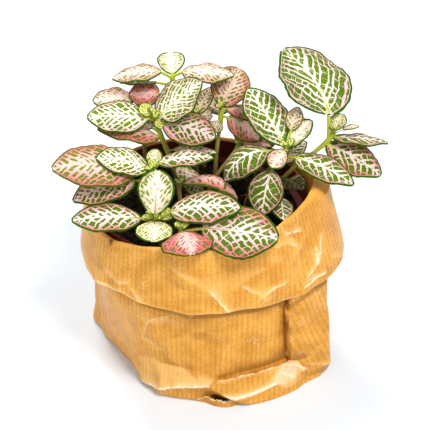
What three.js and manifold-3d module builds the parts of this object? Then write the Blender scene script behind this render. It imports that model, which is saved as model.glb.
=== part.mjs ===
// A potted nerve plant: leafy shoots in a nursery pot of soil, set in a kraft paper bag with a turned-down cuff.
// Millimetres, +Z up. The origin is on the pot's axis, on the floor under the bag. The front is -Y.
import * as THREE from "three";
import Module from "manifold-3d";
import { mergeVertices } from "three/addons/utils/BufferGeometryUtils.js";

const wasm = await Module();
wasm.setup();

const DEGREE = Math.PI / 180;

// Nursery pot: outer radii, heights, wall, stepped rim and drain holes.
const POT_FOOT_RADIUS = 40;
const POT_TOP_RADIUS = 57.4;
const POT_BOTTOM_Z = 1.6;
const POT_TOP_Z = 97;
const POT_WALL = 1.1;
const POT_FLOOR = 2;
const POT_RIM_DEPTH = 12;
const POT_RIM_STEP = 1.3;
const POT_RIM_WALL = 1.8;
const POT_EDGE = 0.6;
const POT_SEGMENTS = 40;
const DRAIN_RADIUS = 4;
const DRAIN_CIRCLE = 26;
const DRAIN_COUNT = 6;

// Soil: level, bumps, edge under the level, gap to the pot and stem holes.
const SOIL_TOP_Z = 85;
const SOIL_BUMP = 1.3;
const SOIL_EDGE = 3;
const SOIL_GAP = 0.4;
const SOIL_RINGS = [0.96, 0.7, 0.4];
const SOIL_SEGMENTS = 24;
const HOLE_GAP = 0.45;
const HOLE_DEPTH = 16;
const HOLE_SIDES = 8;

// Paper bag: sheet, floor, the height where the body turns upright, and the heights that its wall has rows at.
const PAPER = 0.8;
const BAG_FLOOR = 1.1;
const BAG_FLOOR_EDGE = 3;
const BAG_CREASE = 62;
const BAG_BOW = 0.85;
const BAG_ROWS = [12, 30, 48, 64, 80, 92];
const BAG_SEGMENTS = 48;
const RIM_NECK = 2.2;
const RIM_EDGE = 0.8;
// Cuff: the shoulder's place between its foot and the rim, its bow, and the rows between foot and shoulder.
const SHOULDER_PART = 0.9;
const CUFF_BOW = 1.15;
const CUFF_ROWS = [0, 0.3, 0.64, 1];
// Radii and heights of the bag at angles in degrees from +X.
const BAG_FOOT = [
  [-165, 46.5], [-150, 44.6], [-135, 45.6], [-120, 49.5], [-112, 53.4], [-100, 54], [-87, 54.6],
  [-77, 58.6], [-64, 61.4], [-51, 64], [-37, 68], [-23, 75.2], [-10, 61], [0, 55], [15, 50],
  [30, 49], [45, 51], [60, 56], [70, 57], [82, 53], [96, 48], [112, 46.5], [126, 47], [140, 51],
  [154, 59], [165, 64.6], [174, 56],
];
const BAG_WAIST = [
  [-165, 59], [-150, 59], [-120, 60.2], [-90, 60.6], [-60, 62], [-45, 65], [-33, 69], [-23, 72],
  [-10, 67], [0, 65], [20, 62], [45, 60.6], [90, 60], [135, 60], [165, 60],
];
const BAG_RIM = [
  [-165, 59.2], [-120, 59.2], [-90, 59.4], [-60, 59], [-42, 58.8], [-28, 58.7], [-15, 58.8], [-3, 59.4],
  [8, 61], [18, 62], [32, 61.5], [50, 60.5], [90, 60], [135, 59.4], [170, 59.2],
];
const BAG_RIM_Z = [
  [-165, 97.5], [-150, 96.6], [-137, 96.4], [-123, 99.3], [-108, 102.6], [-90, 103], [-70, 103.6],
  [-55, 105.5], [-42, 108.3], [-28, 109.3], [-15, 109], [-4, 107.4], [6, 105], [16, 101.5], [32, 98],
  [60, 96], [90, 95.6], [130, 96], [165, 97],
];
const CUFF_SHOULDER = [
  [-165, 61.8], [-90, 61.8], [-55, 61.8], [-40, 62], [-28, 62.8], [-15, 65.5], [-5, 68], [3, 69],
  [12, 68.5], [22, 67], [40, 64.5], [60, 63], [90, 62.4], [135, 61.8],
];
const CUFF_FOOT = [
  [-164, 64.6], [-146, 65], [-117, 65], [-94, 64.6], [-70, 65], [-47, 67.6], [-35, 71], [-23, 75.2],
  [-12, 77.2], [-3, 77.4], [6, 75], [20, 71.4], [45, 67], [90, 64.6], [135, 64], [170, 64],
];
const CUFF_FOOT_Z = [
  [-164, 67], [-146, 65.6], [-117, 65], [-94, 63.6], [-70, 63.2], [-47, 64.8], [-33, 64.4], [-20, 65],
  [-8, 66.6], [10, 66.8], [45, 66], [90, 65], [135, 66], [170, 67],
];

// Plant: stems, petioles, and blades with a wavy margin.
const STEM_RADIUS = 1.3;
const STEM_SIDES = 6;
const STEM_PLACES = [0, 0.3, 0.55, 0.78, 1];
const PETIOLE_RADIUS = 0.75;
const PETIOLE_SIDES = 5;
const LONG_PETIOLE = 5;
const BLADE = 0.7;
const BLADE_TAPER = 1.14;
const BLADE_START = 0.012;
const BROAD_BLADE = 15;
const MIDRIB_STEPS = 24;
const WAVE = 0.028;
const WAVES = 2.2;
const LEFT_PHASE = 1;
const RIGHT_PHASE = 2.7;

// Shoots: name, root and apex of the stem, then one row for each leaf, in the order of LEAF_KEYS: its side, place
// on the stem (1 is the apex), petiole length, petiole climb, compass turn of the leaf (0 is +X, 90 is the back),
// rise at its base, droop over its length, sideways sweep, roll about the midrib, fold of the two halves, arch
// across, place of the widest point, length, width. Angles in degrees, lengths in millimetres.
const LEAF_KEYS = [
  "side", "place", "petiole", "climb", "turn", "rise", "droop", "sweep", "roll", "fold", "arch", "wide",
  "length", "width",
];
const SHOOTS = [
  ["shoot_left_back", [-12, 16], [-23.5, 21.5, 130.5], [
    ["back", 1, 2, 20, 37, 41, 5, -12, 6, 4, 0.05, 0.57, 28, 31],
    ["left", 0.98, 4, 12, 184, 14, 20, 0, -18, 4, 0.15, 0.48, 33, 23],
    ["bud", 1, 3, 30, 160, 42, 20, 0, -20, 14, 0, 0.5, 8, 9],
    ["low bud", 1, 0.5, -20, -50, -30, 20, 0, 0, 14, 0, 0.5, 6, 7],
    ["right", 0.92, 3, 8, -14, 8, 34, 0, 15, 4, 0.15, 0.5, 30, 24],
    ["low left", 0.73, 1, 0, 182, 34, 48, 0, 6, 0, 0.25, 0.46, 35, 23],
    ["low front", 0.4, 4, 0, -42, -10, 60, 0, 0, 0, 0.2, 0.46, 25, 14],
    ["low right", 0.55, 3, 10, -5, 8, 20, 0, 10, 0, 0.2, 0.46, 25, 9],
    ["low back", 0.8, 5, 10, 138, 5, 30, 0, 0, 4, 0.1, 0.5, 20, 16],
  ]],
  ["shoot_middle_back", [-10, 39], [-15, 45, 143], [
    ["back", 1, 1, 40, 95, 25, 10, 0, 0, 8, 0, 0.62, 16, 15.5],
    ["left", 0.98, 7, 35, 180, 10, 40, 0, 0, 2, 0.15, 0.46, 28, 19],
    ["right", 1, 6, 30, -6, 16, 35, 0, 5, 0, 0.2, 0.46, 29, 19],
    ["low left", 0.78, 8, 8, 180, 5, 15, 0, -25, 4, 0.1, 0.46, 17, 17],
    ["thin left", 0.9, 9, 10, 178, 0, 5, 0, 20, 2, 0.1, 0.46, 20, 12],
  ]],
  ["shoot_far_left", [-30, 37], [-34, 44.5, 129], [
    ["left", 1, 2, 20, 190, 14, 25, 0, -15, 4, 0.15, 0.48, 23, 18],
    ["back", 0.6, 3, 20, 100, 10, 25, 0, 0, 4, 0.1, 0.5, 22, 16],
  ]],
  ["shoot_middle", [8, 30], [11.5, 36, 128], [
    ["back right", 1, 1, 60, 61, 49, 25, 0, 18, 12, 0.1, 0.55, 24.5, 22],
    ["right", 1, 2, 5, 5, 0, 40, 0, 12, 0, 0.3, 0.5, 20, 11],
    ["front right", 0.9, 4, 0, -28, -5, 40, 0, 20, 0, 0.3, 0.5, 22, 15],
    ["front left", 0.84, 2, 0, 240, -8, 40, 0, -10, 0, 0.1, 0.5, 8, 9],
    ["low back", 0.8, 5, 20, 95, 10, 35, 0, 0, 4, 0.1, 0.5, 22, 16],
  ]],
  ["shoot_middle_left", [-2, 28], [-2, 36.5, 123.5], [
    ["back right", 1, 1, 40, 62, 40, 20, 0, 0, 4, 0.1, 0.5, 18, 10],
    ["left", 1, 1, 40, 175, 50, 20, 0, -10, 4, 0.1, 0.5, 12, 10],
    ["right", 1, 1, 20, 14, 5, 20, 0, 20, 4, 0.1, 0.55, 8, 9],
  ]],
  ["shoot_middle_right", [4, 14], [21, 26, 112], [
    ["right", 1, 1, 10, -5, 8, 20, 0, 0, 4, 0.1, 0.5, 17, 9],
  ]],
  ["shoot_back", [2, 46], [-1, 48, 104], [
    ["back", 1, 2, 30, 80, 15, 40, 0, 0, 4, 0.1, 0.5, 18, 13],
    ["left", 0.95, 2, 10, 190, 5, 30, 0, -10, 4, 0.1, 0.5, 11, 9],
  ]],
  ["shoot_back_right", [30, 30], [34, 38, 114], [
    ["back", 1, 2, 30, 105, 15, 40, 0, 0, 4, 0.1, 0.5, 22, 15],
    ["right", 0.97, 3, 20, 20, 15, 30, 0, 10, 4, 0.1, 0.5, 24, 16],
    ["low back", 0.5, 3, 20, 70, 15, 40, 0, 0, 4, 0.1, 0.5, 20, 14],
  ]],
  ["shoot_right_front", [24, 2], [45.5, 6, 121], [
    ["back", 1, 2, 40, 125, 40, 20, 0, 0, 6, 0.1, 0.5, 39, 25],
    ["young right", 1, 1, 40, 35, 42, 20, 10, 10, 14, 0, 0.52, 20, 12],
    ["young left", 1, 1, 0, 232, -10, 25, 0, -20, 8, 0, 0.6, 14, 12],
    ["left", 0.97, 9, 5, 190, 15, 95, 15, -12, 0, 0.4, 0.45, 32, 20],
    ["front", 0.7, 4, 0, 254, -10, 60, 0, -8, 0, 0.3, 0.5, 27, 19],
    ["right", 0.86, 8, 15, -30, 6, 32, 0, 15, 4, 0.2, 0.46, 36, 17],
    ["low right", 0.5, 14, 20, 35, 40, 32, 0, 0, 4, 0.2, 0.46, 18, 12],
    ["far back", 1, 10, 50, 68, 50, 20, 0, 0, 4, 0.1, 0.5, 16, 12],
  ]],
  ["shoot_right", [40, 12], [70.5, 12, 127], [
    ["back", 0.9, 14, 85, 102, 36, 15, 50, 8, 4, 0.05, 0.52, 47, 44],
    ["young back", 1, 2, 60, 60, 45, 20, 0, 0, 10, 0, 0.5, 10, 10],
    ["young right", 1, 5, 25, 5, 20, 20, 0, 10, 10, 0, 0.5, 9, 4],
    ["right", 0.93, 1, 10, -3, 5, 20, 0, -10, 0, 0.1, 0.46, 30, 16],
    ["front right", 0.83, 1, 0, -28, -5, 26, 0, 12, 4, 0.2, 0.5, 34, 22],
    ["low right", 0.15, 2, 10, -42, 27, 10, 0, -18, 38, 0, 0.5, 18, 17],
    ["low front", 0.2, 14, 0, 272, 7, 20, 0, 0, 4, 0.1, 0.5, 20, 11.5],
  ]],
  ["shoot_left", [-20, -8], [-24.5, -12, 119], [
    ["young back", 1, 1, 50, 75, 50, 10, 0, 0, 12, 0, 0.55, 11, 9],
    ["left", 1, 2, 45, 186, 32, 32, 0, -12, 4, 0.1, 0.48, 29, 21],
    ["right", 1, 5, 52, 6, 22, 38, 0, 10, 4, 0.2, 0.48, 30, 13],
    ["far left", 0.93, 8, 20, 192, 28, 38, 0, -15, 2, 0.15, 0.5, 46, 30],
    ["low left", 0.8, 10, 10, 200, 8, 34, 0, -10, 2, 0.15, 0.5, 35, 21],
  ]],
  ["shoot_front_left", [-20, -32], [-22.5, -38, 106], [
    ["back", 1, 2, 70, 82, 70, 15, 0, 0, 6, 0, 0.6, 24, 19],
    ["front", 1, 1, 0, 270, 8, 40, 0, 0, 4, 0.1, 0.55, 15, 19],
    ["left", 0.98, 7, 15, 190, 17, 25, 0, -12, 2, 0.1, 0.5, 36, 20],
    ["right", 0.95, 10, 40, -10, 28, 36, 0, 20, 2, 0.2, 0.5, 38, 21],
    ["bud right", 1, 2, 20, 20, 20, 20, 0, 30, 10, 0, 0.5, 9, 8],
    ["bud left", 1, 1, 20, 170, 20, 20, 0, 0, 10, 0, 0.5, 6, 5],
  ]],
  ["shoot_front", [-4, -36], [-9, -48, 106], [
    ["front", 1, 2, 25, -75, 25, 50, 0, 0, 0, 0.25, 0.5, 22, 26],
    ["right", 0.95, 11, 22, -14, 9, 18, 0, 25, 2, 0.15, 0.5, 40, 30],
  ]],
  ["shoot_inner", [-10, -4], [-11, -0.5, 102], [
    ["right", 1, 2, 40, 0, 38, 118, 0, 10, 0, 0.4, 0.5, 38.5, 10],
  ]],
];

// Value at an angle of a closed ring of [angle, value] pairs, eased between neighbours.
function ringValue(ring, degrees) {
  const turn = ((degrees + 180) % 360 + 360) % 360 - 180;
  let before = ring[ring.length - 1];
  let start = before[0] - 360;
  for (const pair of ring) {
    if (turn < pair[0]) {
      const part = (turn - start) / (pair[0] - start);
      const ease = part * part * (3 - 2 * part);
      return before[1] + (pair[1] - before[1]) * (0.5 * part + 0.5 * ease);
    }
    before = pair;
    start = pair[0];
  }
  const part = (turn - start) / (ring[0][0] + 360 - start);
  return before[1] + (ring[0][1] - before[1]) * part;
}

// Solid from a closed geometry.
function solidOf(geometry) {
  geometry.deleteAttribute("normal");
  geometry.deleteAttribute("uv");
  const merged = mergeVertices(geometry, 1e-4);
  return new wasm.Manifold(new wasm.Mesh({
    numProp: 3,
    vertProperties: new Float32Array(merged.attributes.position.array),
    triVerts: new Uint32Array(merged.index.array),
  }));
}

// Geometry of a solid.
function geometryOf(solid) {
  const mesh = solid.getMesh();
  const geometry = new THREE.BufferGeometry();
  geometry.setAttribute("position", new THREE.BufferAttribute(new Float32Array(mesh.vertProperties), 3));
  geometry.setIndex(new THREE.BufferAttribute(new Uint32Array(mesh.triVerts), 1));
  geometry.computeVertexNormals();
  return geometry;
}

// Named mesh of a solid.
function meshOf(name, solid, color, roughness) {
  const material = new THREE.MeshStandardMaterial({ color, roughness, metalness: 0 });
  const mesh = new THREE.Mesh(geometryOf(solid), material);
  mesh.name = name;
  return mesh;
}

// Turned solid about the Z axis from its profile of [radius, height] pairs.
function turned(profile, segments) {
  const points = profile.map(([radius, height]) => new THREE.Vector2(radius, height));
  return solidOf(new THREE.LatheGeometry(points, segments).rotateX(90 * DEGREE));
}

// Upright rod between two heights.
function rod(x, y, bottom, top, radius) {
  const geometry = new THREE.CylinderGeometry(radius, radius, top - bottom, HOLE_SIDES).rotateX(90 * DEGREE);
  return solidOf(geometry.translate(x, y, (top + bottom) / 2));
}

// Limb through a row of points: a cylinder's net whose rings are set square to the path.
function limb(points, radius, sides) {
  const geometry = new THREE.CylinderGeometry(1, 1, 1, sides, points.length - 1);
  const position = geometry.attributes.position;
  const reference = new THREE.Vector3(0.26, -0.97, 0.05);
  const rings = points.map((point, row) => {
    const before = points[Math.max(row - 1, 0)];
    const after = points[Math.min(row + 1, points.length - 1)];
    const ahead = after.clone().sub(before).normalize();
    const aside = reference.clone().cross(ahead).normalize();
    return { point, aside, upright: aside.clone().cross(ahead) };
  });
  for (let index = 0; index < position.count; index += 1) {
    const { point, aside, upright } = rings[Math.round((position.getY(index) + 0.5) * (points.length - 1))];
    const place = point.clone()
      .addScaledVector(aside, radius * position.getX(index))
      .addScaledVector(upright, radius * position.getZ(index));
    position.setXYZ(index, place.x, place.y, place.z);
  }
  return solidOf(geometry);
}

// Radius of the bag's sheet at an angle and height, without its thickness.
function bagRadius(degrees, z) {
  const foot = ringValue(BAG_FOOT, degrees);
  const waist = ringValue(BAG_WAIST, degrees);
  const rim = ringValue(BAG_RIM, degrees);
  if (z > BAG_CREASE) return waist + (rim - waist) * (z - BAG_CREASE) / (POT_TOP_Z - BAG_CREASE);
  return foot + (waist - foot) * Math.pow(z / BAG_CREASE, BAG_BOW);
}

// Radius of the cuff's outer face, from its foot (0) to its shoulder (1).
function cuffRadius(degrees, part) {
  const foot = ringValue(CUFF_FOOT, degrees);
  return foot + (ringValue(CUFF_SHOULDER, degrees) - foot) * Math.pow(part, CUFF_BOW);
}

// Outline of the bag's wall at an angle: floor, body, under the cuff, cuff, rim, then the inside down to the floor.
function bagProfile(degrees) {
  const rim = ringValue(BAG_RIM, degrees);
  const rimZ = ringValue(BAG_RIM_Z, degrees);
  const cuffZ = ringValue(CUFF_FOOT_Z, degrees);
  const shoulderZ = cuffZ + SHOULDER_PART * (rimZ - cuffZ);
  const foot = ringValue(BAG_FOOT, degrees);
  const floor = foot - BAG_FLOOR_EDGE;
  const body = BAG_ROWS.map((z) => [bagRadius(degrees, z), z]);
  const cuff = CUFF_ROWS.map((part) => [cuffRadius(degrees, part), cuffZ + part * (shoulderZ - cuffZ)]);
  const inward = ([radius, z]) => [radius - PAPER, z];
  return [
    [0, 0], [floor * 0.6, 0], [floor, 0], [foot - PAPER, BAG_FLOOR],
    ...body,
    [rim + PAPER / 2, rimZ - RIM_NECK],
    ...cuff.map(inward).reverse(),
    ...cuff,
    [rim + 2 * PAPER, rimZ - RIM_EDGE], [rim + RIM_EDGE, rimZ], [rim - PAPER / 2, rimZ - RIM_EDGE],
    ...body.map(inward).reverse(),
    [floor - PAPER, BAG_FLOOR], [floor * 0.6, BAG_FLOOR], [0, BAG_FLOOR],
  ];
}

// Paper bag: a turned net whose points are moved to the outline of each angle.
function bagSolid() {
  const net = bagProfile(0).map(([radius, height]) => new THREE.Vector2(radius, height));
  const geometry = new THREE.LatheGeometry(net, BAG_SEGMENTS);
  const position = geometry.attributes.position;
  for (let step = 0; step <= BAG_SEGMENTS; step += 1) {
    const degrees = (step % BAG_SEGMENTS) * 360 / BAG_SEGMENTS - 90;
    bagProfile(degrees).forEach(([radius, height], row) => {
      const x = radius * Math.cos(degrees * DEGREE);
      const y = radius * Math.sin(degrees * DEGREE);
      position.setXYZ(step * net.length + row, x, y, height);
    });
  }
  return solidOf(geometry);
}

// Outer radius of the pot's wall at a height.
function potRadius(z) {
  const top = POT_TOP_RADIUS - POT_RIM_STEP;
  return POT_FOOT_RADIUS + (top - POT_FOOT_RADIUS) * (z - POT_BOTTOM_Z) / (POT_TOP_Z - POT_BOTTOM_Z);
}

// Nursery pot: tapered shell with a stepped rim and drain holes.
function potSolid() {
  const step = POT_TOP_Z - POT_RIM_DEPTH;
  const floor = POT_BOTTOM_Z + POT_FLOOR;
  let pot = turned([
    [0, POT_BOTTOM_Z],
    [POT_FOOT_RADIUS, POT_BOTTOM_Z],
    [potRadius(step), step],
    [POT_TOP_RADIUS - POT_EDGE, step + POT_EDGE],
    [POT_TOP_RADIUS, POT_TOP_Z - POT_EDGE],
    [POT_TOP_RADIUS - POT_EDGE, POT_TOP_Z],
    [POT_TOP_RADIUS - POT_WALL, POT_TOP_Z - POT_EDGE],
    [POT_TOP_RADIUS - POT_RIM_WALL, step + POT_RIM_STEP],
    [potRadius(step) - POT_WALL, step - POT_EDGE],
    [potRadius(floor) - POT_WALL, floor],
    [0, floor],
  ], POT_SEGMENTS);
  for (let hole = 0; hole < DRAIN_COUNT; hole += 1) {
    const angle = (hole + 0.5) * 2 * Math.PI / DRAIN_COUNT;
    const x = DRAIN_CIRCLE * Math.cos(angle);
    const y = DRAIN_CIRCLE * Math.sin(angle);
    pot = pot.subtract(rod(x, y, POT_BOTTOM_Z - 1, floor + 1, DRAIN_RADIUS));
  }
  return pot;
}

// Height of the soil's bumps at a point.
function soilBump(x, y) {
  return SOIL_BUMP * (Math.sin(x * 0.21 + 1.3) * Math.cos(y * 0.17 - 0.6) + 0.5 * Math.sin(x * 0.43 - y * 0.37));
}

// Soil: fills the pot to its level, with a bumpy top and a plain hole round each stem.
function soilSolid() {
  const bottom = POT_BOTTOM_Z + POT_FLOOR + SOIL_GAP;
  const radiusAt = (z) => potRadius(z) - POT_WALL - SOIL_GAP;
  const edge = radiusAt(SOIL_TOP_Z - SOIL_EDGE);
  const points = [[0, bottom], [radiusAt(bottom), bottom], [edge, SOIL_TOP_Z - SOIL_EDGE]];
  for (const part of SOIL_RINGS) points.push([edge * part, SOIL_TOP_Z]);
  points.push([0, SOIL_TOP_Z]);
  const net = points.map(([radius, height]) => new THREE.Vector2(radius, height));
  const geometry = new THREE.LatheGeometry(net, SOIL_SEGMENTS).rotateX(90 * DEGREE);
  const position = geometry.attributes.position;
  for (let index = 0; index < position.count; index += 1) {
    if (position.getZ(index) < SOIL_TOP_Z - 1) continue;
    position.setZ(index, SOIL_TOP_Z + soilBump(position.getX(index), position.getY(index)));
  }
  let soil = solidOf(geometry);
  for (const [, [x, y]] of SHOOTS) {
    soil = soil.subtract(rod(x, y, SOIL_TOP_Z - HOLE_DEPTH, SOIL_TOP_Z + 3 * SOIL_BUMP, STEM_RADIUS + HOLE_GAP));
  }
  return soil;
}

// Stem of a shoot above the soil: upright at its foot, then leaning over to its apex.
function stemCurve(root, apex) {
  const foot = new THREE.Vector3(root[0], root[1], SOIL_TOP_Z);
  const tip = new THREE.Vector3(...apex);
  const height = tip.z - foot.z;
  const low = new THREE.Vector3(foot.x, foot.y, foot.z + 0.45 * height);
  const lean = tip.clone().sub(foot).setZ(0);
  const high = tip.clone().addScaledVector(lean, -0.21).setZ(tip.z - 0.3 * height);
  return new THREE.CubicBezierCurve3(foot, low, high, tip);
}

// Unit vector from a compass turn and a rise, both in degrees.
function heading(turn, rise) {
  const flat = Math.cos(rise * DEGREE);
  return new THREE.Vector3(
    flat * Math.cos(turn * DEGREE),
    flat * Math.sin(turn * DEGREE),
    Math.sin(rise * DEGREE),
  );
}

// Points of a leaf's midrib, from its base to its tip.
function midribOf(leaf, base) {
  const points = [base.clone()];
  for (let step = 0; step < MIDRIB_STEPS; step += 1) {
    const part = (step + 0.5) / MIDRIB_STEPS;
    const way = heading(leaf.turn + leaf.sweep * part, leaf.rise - leaf.droop * part);
    points.push(points[step].clone().addScaledVector(way, leaf.length / MIDRIB_STEPS));
  }
  return points;
}

// Half width of a blade, as a share of its largest, at a share of the length.
function halfWidth(part, wide) {
  return Math.pow(part / wide, BLADE_TAPER * wide) * Math.pow((1 - part) / (1 - wide), BLADE_TAPER * (1 - wide));
}

// Point of a blade at a share of its length and a side from -1 (right) to 1 (left).
function bladePoint(leaf, midrib, along, side) {
  const place = along * MIDRIB_STEPS;
  const step = Math.min(Math.floor(place), MIDRIB_STEPS - 1);
  const point = midrib[step].clone().lerp(midrib[step + 1], place - step);
  const turn = leaf.turn + leaf.sweep * along;
  const rise = leaf.rise - leaf.droop * along;
  const left = heading(turn + 90, 0);
  const up = heading(turn, rise + 90);
  const across = left.clone().applyAxisAngle(heading(turn, rise), leaf.roll * DEGREE);
  const normal = up.clone().applyAxisAngle(heading(turn, rise), leaf.roll * DEGREE);
  const share = halfWidth(along, leaf.wide);
  const half = 0.5 * leaf.width * share;
  const out = Math.abs(side);
  const phase = side > 0 ? LEFT_PHASE : RIGHT_PHASE;
  const wave = WAVE * leaf.width * share * Math.sin(WAVES * 2 * Math.PI * along + phase) * out * out;
  const lift = half * out * Math.tan(leaf.fold * DEGREE) - leaf.arch * half * out * out + wave;
  return point.addScaledVector(across, side * half * Math.cos(leaf.fold * DEGREE)).addScaledVector(normal, lift);
}

// Place along the leaf of a column of its net, from 0 to 1, closer together near base and tip.
function columnPlace(share) {
  const ease = 0.5 - 0.5 * Math.cos(Math.PI * share);
  return BLADE_START + (1 - 2 * BLADE_START) * (0.7 * ease + 0.3 * share);
}

// Closed blade: a net bent to the leaf's surface, on both faces, with a wall round its margin.
function bladeSolid(leaf, midrib) {
  const columns = leaf.width > BROAD_BLADE ? 6 : 5;
  const rows = leaf.width > BROAD_BLADE ? 4 : 2;
  const net = new THREE.PlaneGeometry(1, 1, columns, rows);
  const count = net.attributes.position.count;
  const positions = new Float32Array(count * 6);
  const step = BLADE_START / 3;
  for (let index = 0; index < count; index += 1) {
    const along = columnPlace(net.attributes.position.getX(index) + 0.5);
    const side = 2 * net.attributes.position.getY(index);
    const point = bladePoint(leaf, midrib, along, side);
    const ahead = bladePoint(leaf, midrib, along + step, side).sub(bladePoint(leaf, midrib, along - step, side));
    const aside = bladePoint(leaf, midrib, along, side + step).sub(bladePoint(leaf, midrib, along, side - step));
    const normal = ahead.cross(aside).normalize();
    point.clone().addScaledVector(normal, BLADE / 2).toArray(positions, index * 3);
    point.clone().addScaledVector(normal, -BLADE / 2).toArray(positions, (count + index) * 3);
  }
  const triangles = Array.from(net.index.array);
  for (let index = 0; index < net.index.count; index += 3) {
    const [a, b, c] = [0, 1, 2].map((corner) => net.index.getX(index + corner) + count);
    triangles.push(a, c, b);
  }
  const margin = [];
  const at = (column, row) => row * (columns + 1) + column;
  for (let column = 0; column < columns; column += 1) margin.push(at(column, rows));
  for (let row = rows; row > 0; row -= 1) margin.push(at(columns, row));
  for (let column = columns; column > 0; column -= 1) margin.push(at(column, 0));
  for (let row = 0; row < rows; row += 1) margin.push(at(0, row));
  margin.forEach((here, index) => {
    const next = margin[(index + 1) % margin.length];
    triangles.push(here + count, next + count, next, here + count, next, here);
  });
  const geometry = new THREE.BufferGeometry();
  geometry.setAttribute("position", new THREE.BufferAttribute(positions, 3));
  geometry.setIndex(triangles);
  return solidOf(geometry);
}

// One leafy shoot: stem, petioles and blades joined in one solid.
function shootSolid(root, apex, rows) {
  const curve = stemCurve(root, apex);
  const buried = new THREE.Vector3(root[0], root[1], SOIL_TOP_Z - HOLE_DEPTH + 1);
  const stem = [buried, ...STEM_PLACES.map((place) => curve.getPoint(place))];
  let shoot = limb(stem, STEM_RADIUS, STEM_SIDES);
  for (const row of rows) {
    const leaf = Object.fromEntries(LEAF_KEYS.map((key, index) => [key, row[index]]));
    const node = curve.getPoint(leaf.place);
    const base = node.clone().addScaledVector(heading(leaf.turn, leaf.climb), leaf.petiole);
    const midrib = midribOf(leaf, base);
    const petiole = new THREE.QuadraticBezierCurve3(node, base, midrib[2]);
    const petiolePoints = petiole.getPoints(leaf.petiole > LONG_PETIOLE ? 3 : 1);
    shoot = shoot.add(limb(petiolePoints, PETIOLE_RADIUS, PETIOLE_SIDES)).add(bladeSolid(leaf, midrib));
  }
  return shoot;
}

const plant = new THREE.Group();
plant.add(meshOf("paper_bag", bagSolid(), 0xd9a050, 0.55));
plant.add(meshOf("nursery_pot", potSolid(), 0x7a2a1c, 0.5));
plant.add(meshOf("soil", soilSolid(), 0x1c130d, 0.95));
for (const [name, root, apex, rows] of SHOOTS) {
  plant.add(meshOf(name, shootSolid(root, apex, rows), 0x5c8a34, 0.6));
}

export default plant;
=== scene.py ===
"""Potted nerve plant: leafy shoots in a nursery pot of soil, stood in a kraft paper bag."""

import logging
import math
from collections.abc import Callable
from dataclasses import dataclass, field
from enum import Enum
from typing import Any

import bpy
import numpy as np
from mathutils import Euler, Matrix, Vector


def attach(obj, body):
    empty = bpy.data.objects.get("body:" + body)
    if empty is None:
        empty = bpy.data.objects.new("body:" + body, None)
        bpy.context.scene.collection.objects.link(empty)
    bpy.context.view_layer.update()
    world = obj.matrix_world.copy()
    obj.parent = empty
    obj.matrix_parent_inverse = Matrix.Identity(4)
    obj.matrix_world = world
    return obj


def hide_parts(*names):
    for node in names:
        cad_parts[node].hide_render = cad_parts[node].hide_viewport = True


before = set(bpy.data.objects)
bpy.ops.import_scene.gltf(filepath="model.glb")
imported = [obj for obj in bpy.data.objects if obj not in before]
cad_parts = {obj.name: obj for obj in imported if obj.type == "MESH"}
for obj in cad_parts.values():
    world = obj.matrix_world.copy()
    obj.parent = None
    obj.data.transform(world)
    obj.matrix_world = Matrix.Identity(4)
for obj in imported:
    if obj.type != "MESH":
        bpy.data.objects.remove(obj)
log = logging.getLogger("nerve_plant")

MM = 0.001
Array = np.ndarray
Socket = bpy.types.NodeSocket
Pair = tuple[float, float]
Place = tuple[float, float, float]
Ring = tuple[Pair, ...]


class Tone(Enum):
    """How a leaf is coloured: vein cover, pink, dullness and depth of green.

    Cover below 0 gives the finest veins, and pink above 1 flushes the margin in full.
    """

    BUD = (0.02, 0.00, 0.00, 0.14)
    SPROUT = (0.38, 0.32, 0.00, 0.42)
    YOUNG = (0.58, 0.30, 0.00, 0.48)
    PALE = (0.26, 0.50, 0.00, 0.64)
    MIXED = (0.18, 0.88, 0.02, 0.84)
    ROSE = (0.46, 1.60, 0.06, 0.80)
    PEACH = (0.46, 0.75, 0.12, 0.62)
    BLUSH = (0.11, 1.00, 0.02, 0.88)
    STREAKED = (0.31, 0.98, 0.36, 0.76)
    BOLD_PALE = (0.05, 0.52, 0.00, 0.76)
    BOLD = (0.03, 0.82, 0.00, 0.84)
    DEEP = (-0.08, 0.80, 0.03, 0.88)
    FADED = (0.44, 1.30, 0.30, 0.78)
    OLIVE = (0.22, 0.40, 0.40, 0.68)


@dataclass(frozen=True)
class Leaf:
    """One leaf, in millimetres and degrees, by the same measures as the solid that it stands for."""

    side: str
    place: float
    petiole: float
    climb: float
    turn: float
    rise: float
    droop: float
    sweep: float
    roll: float
    fold: float
    arch: float
    wide: float
    length: float
    width: float
    tone: Tone


@dataclass(frozen=True)
class Shoot:
    """One leafy stem: the root in the soil, the apex, and its leaves."""

    name: str
    root: tuple[float, float]
    apex: tuple[float, float, float]
    leaves: tuple[Leaf, ...]


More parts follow.
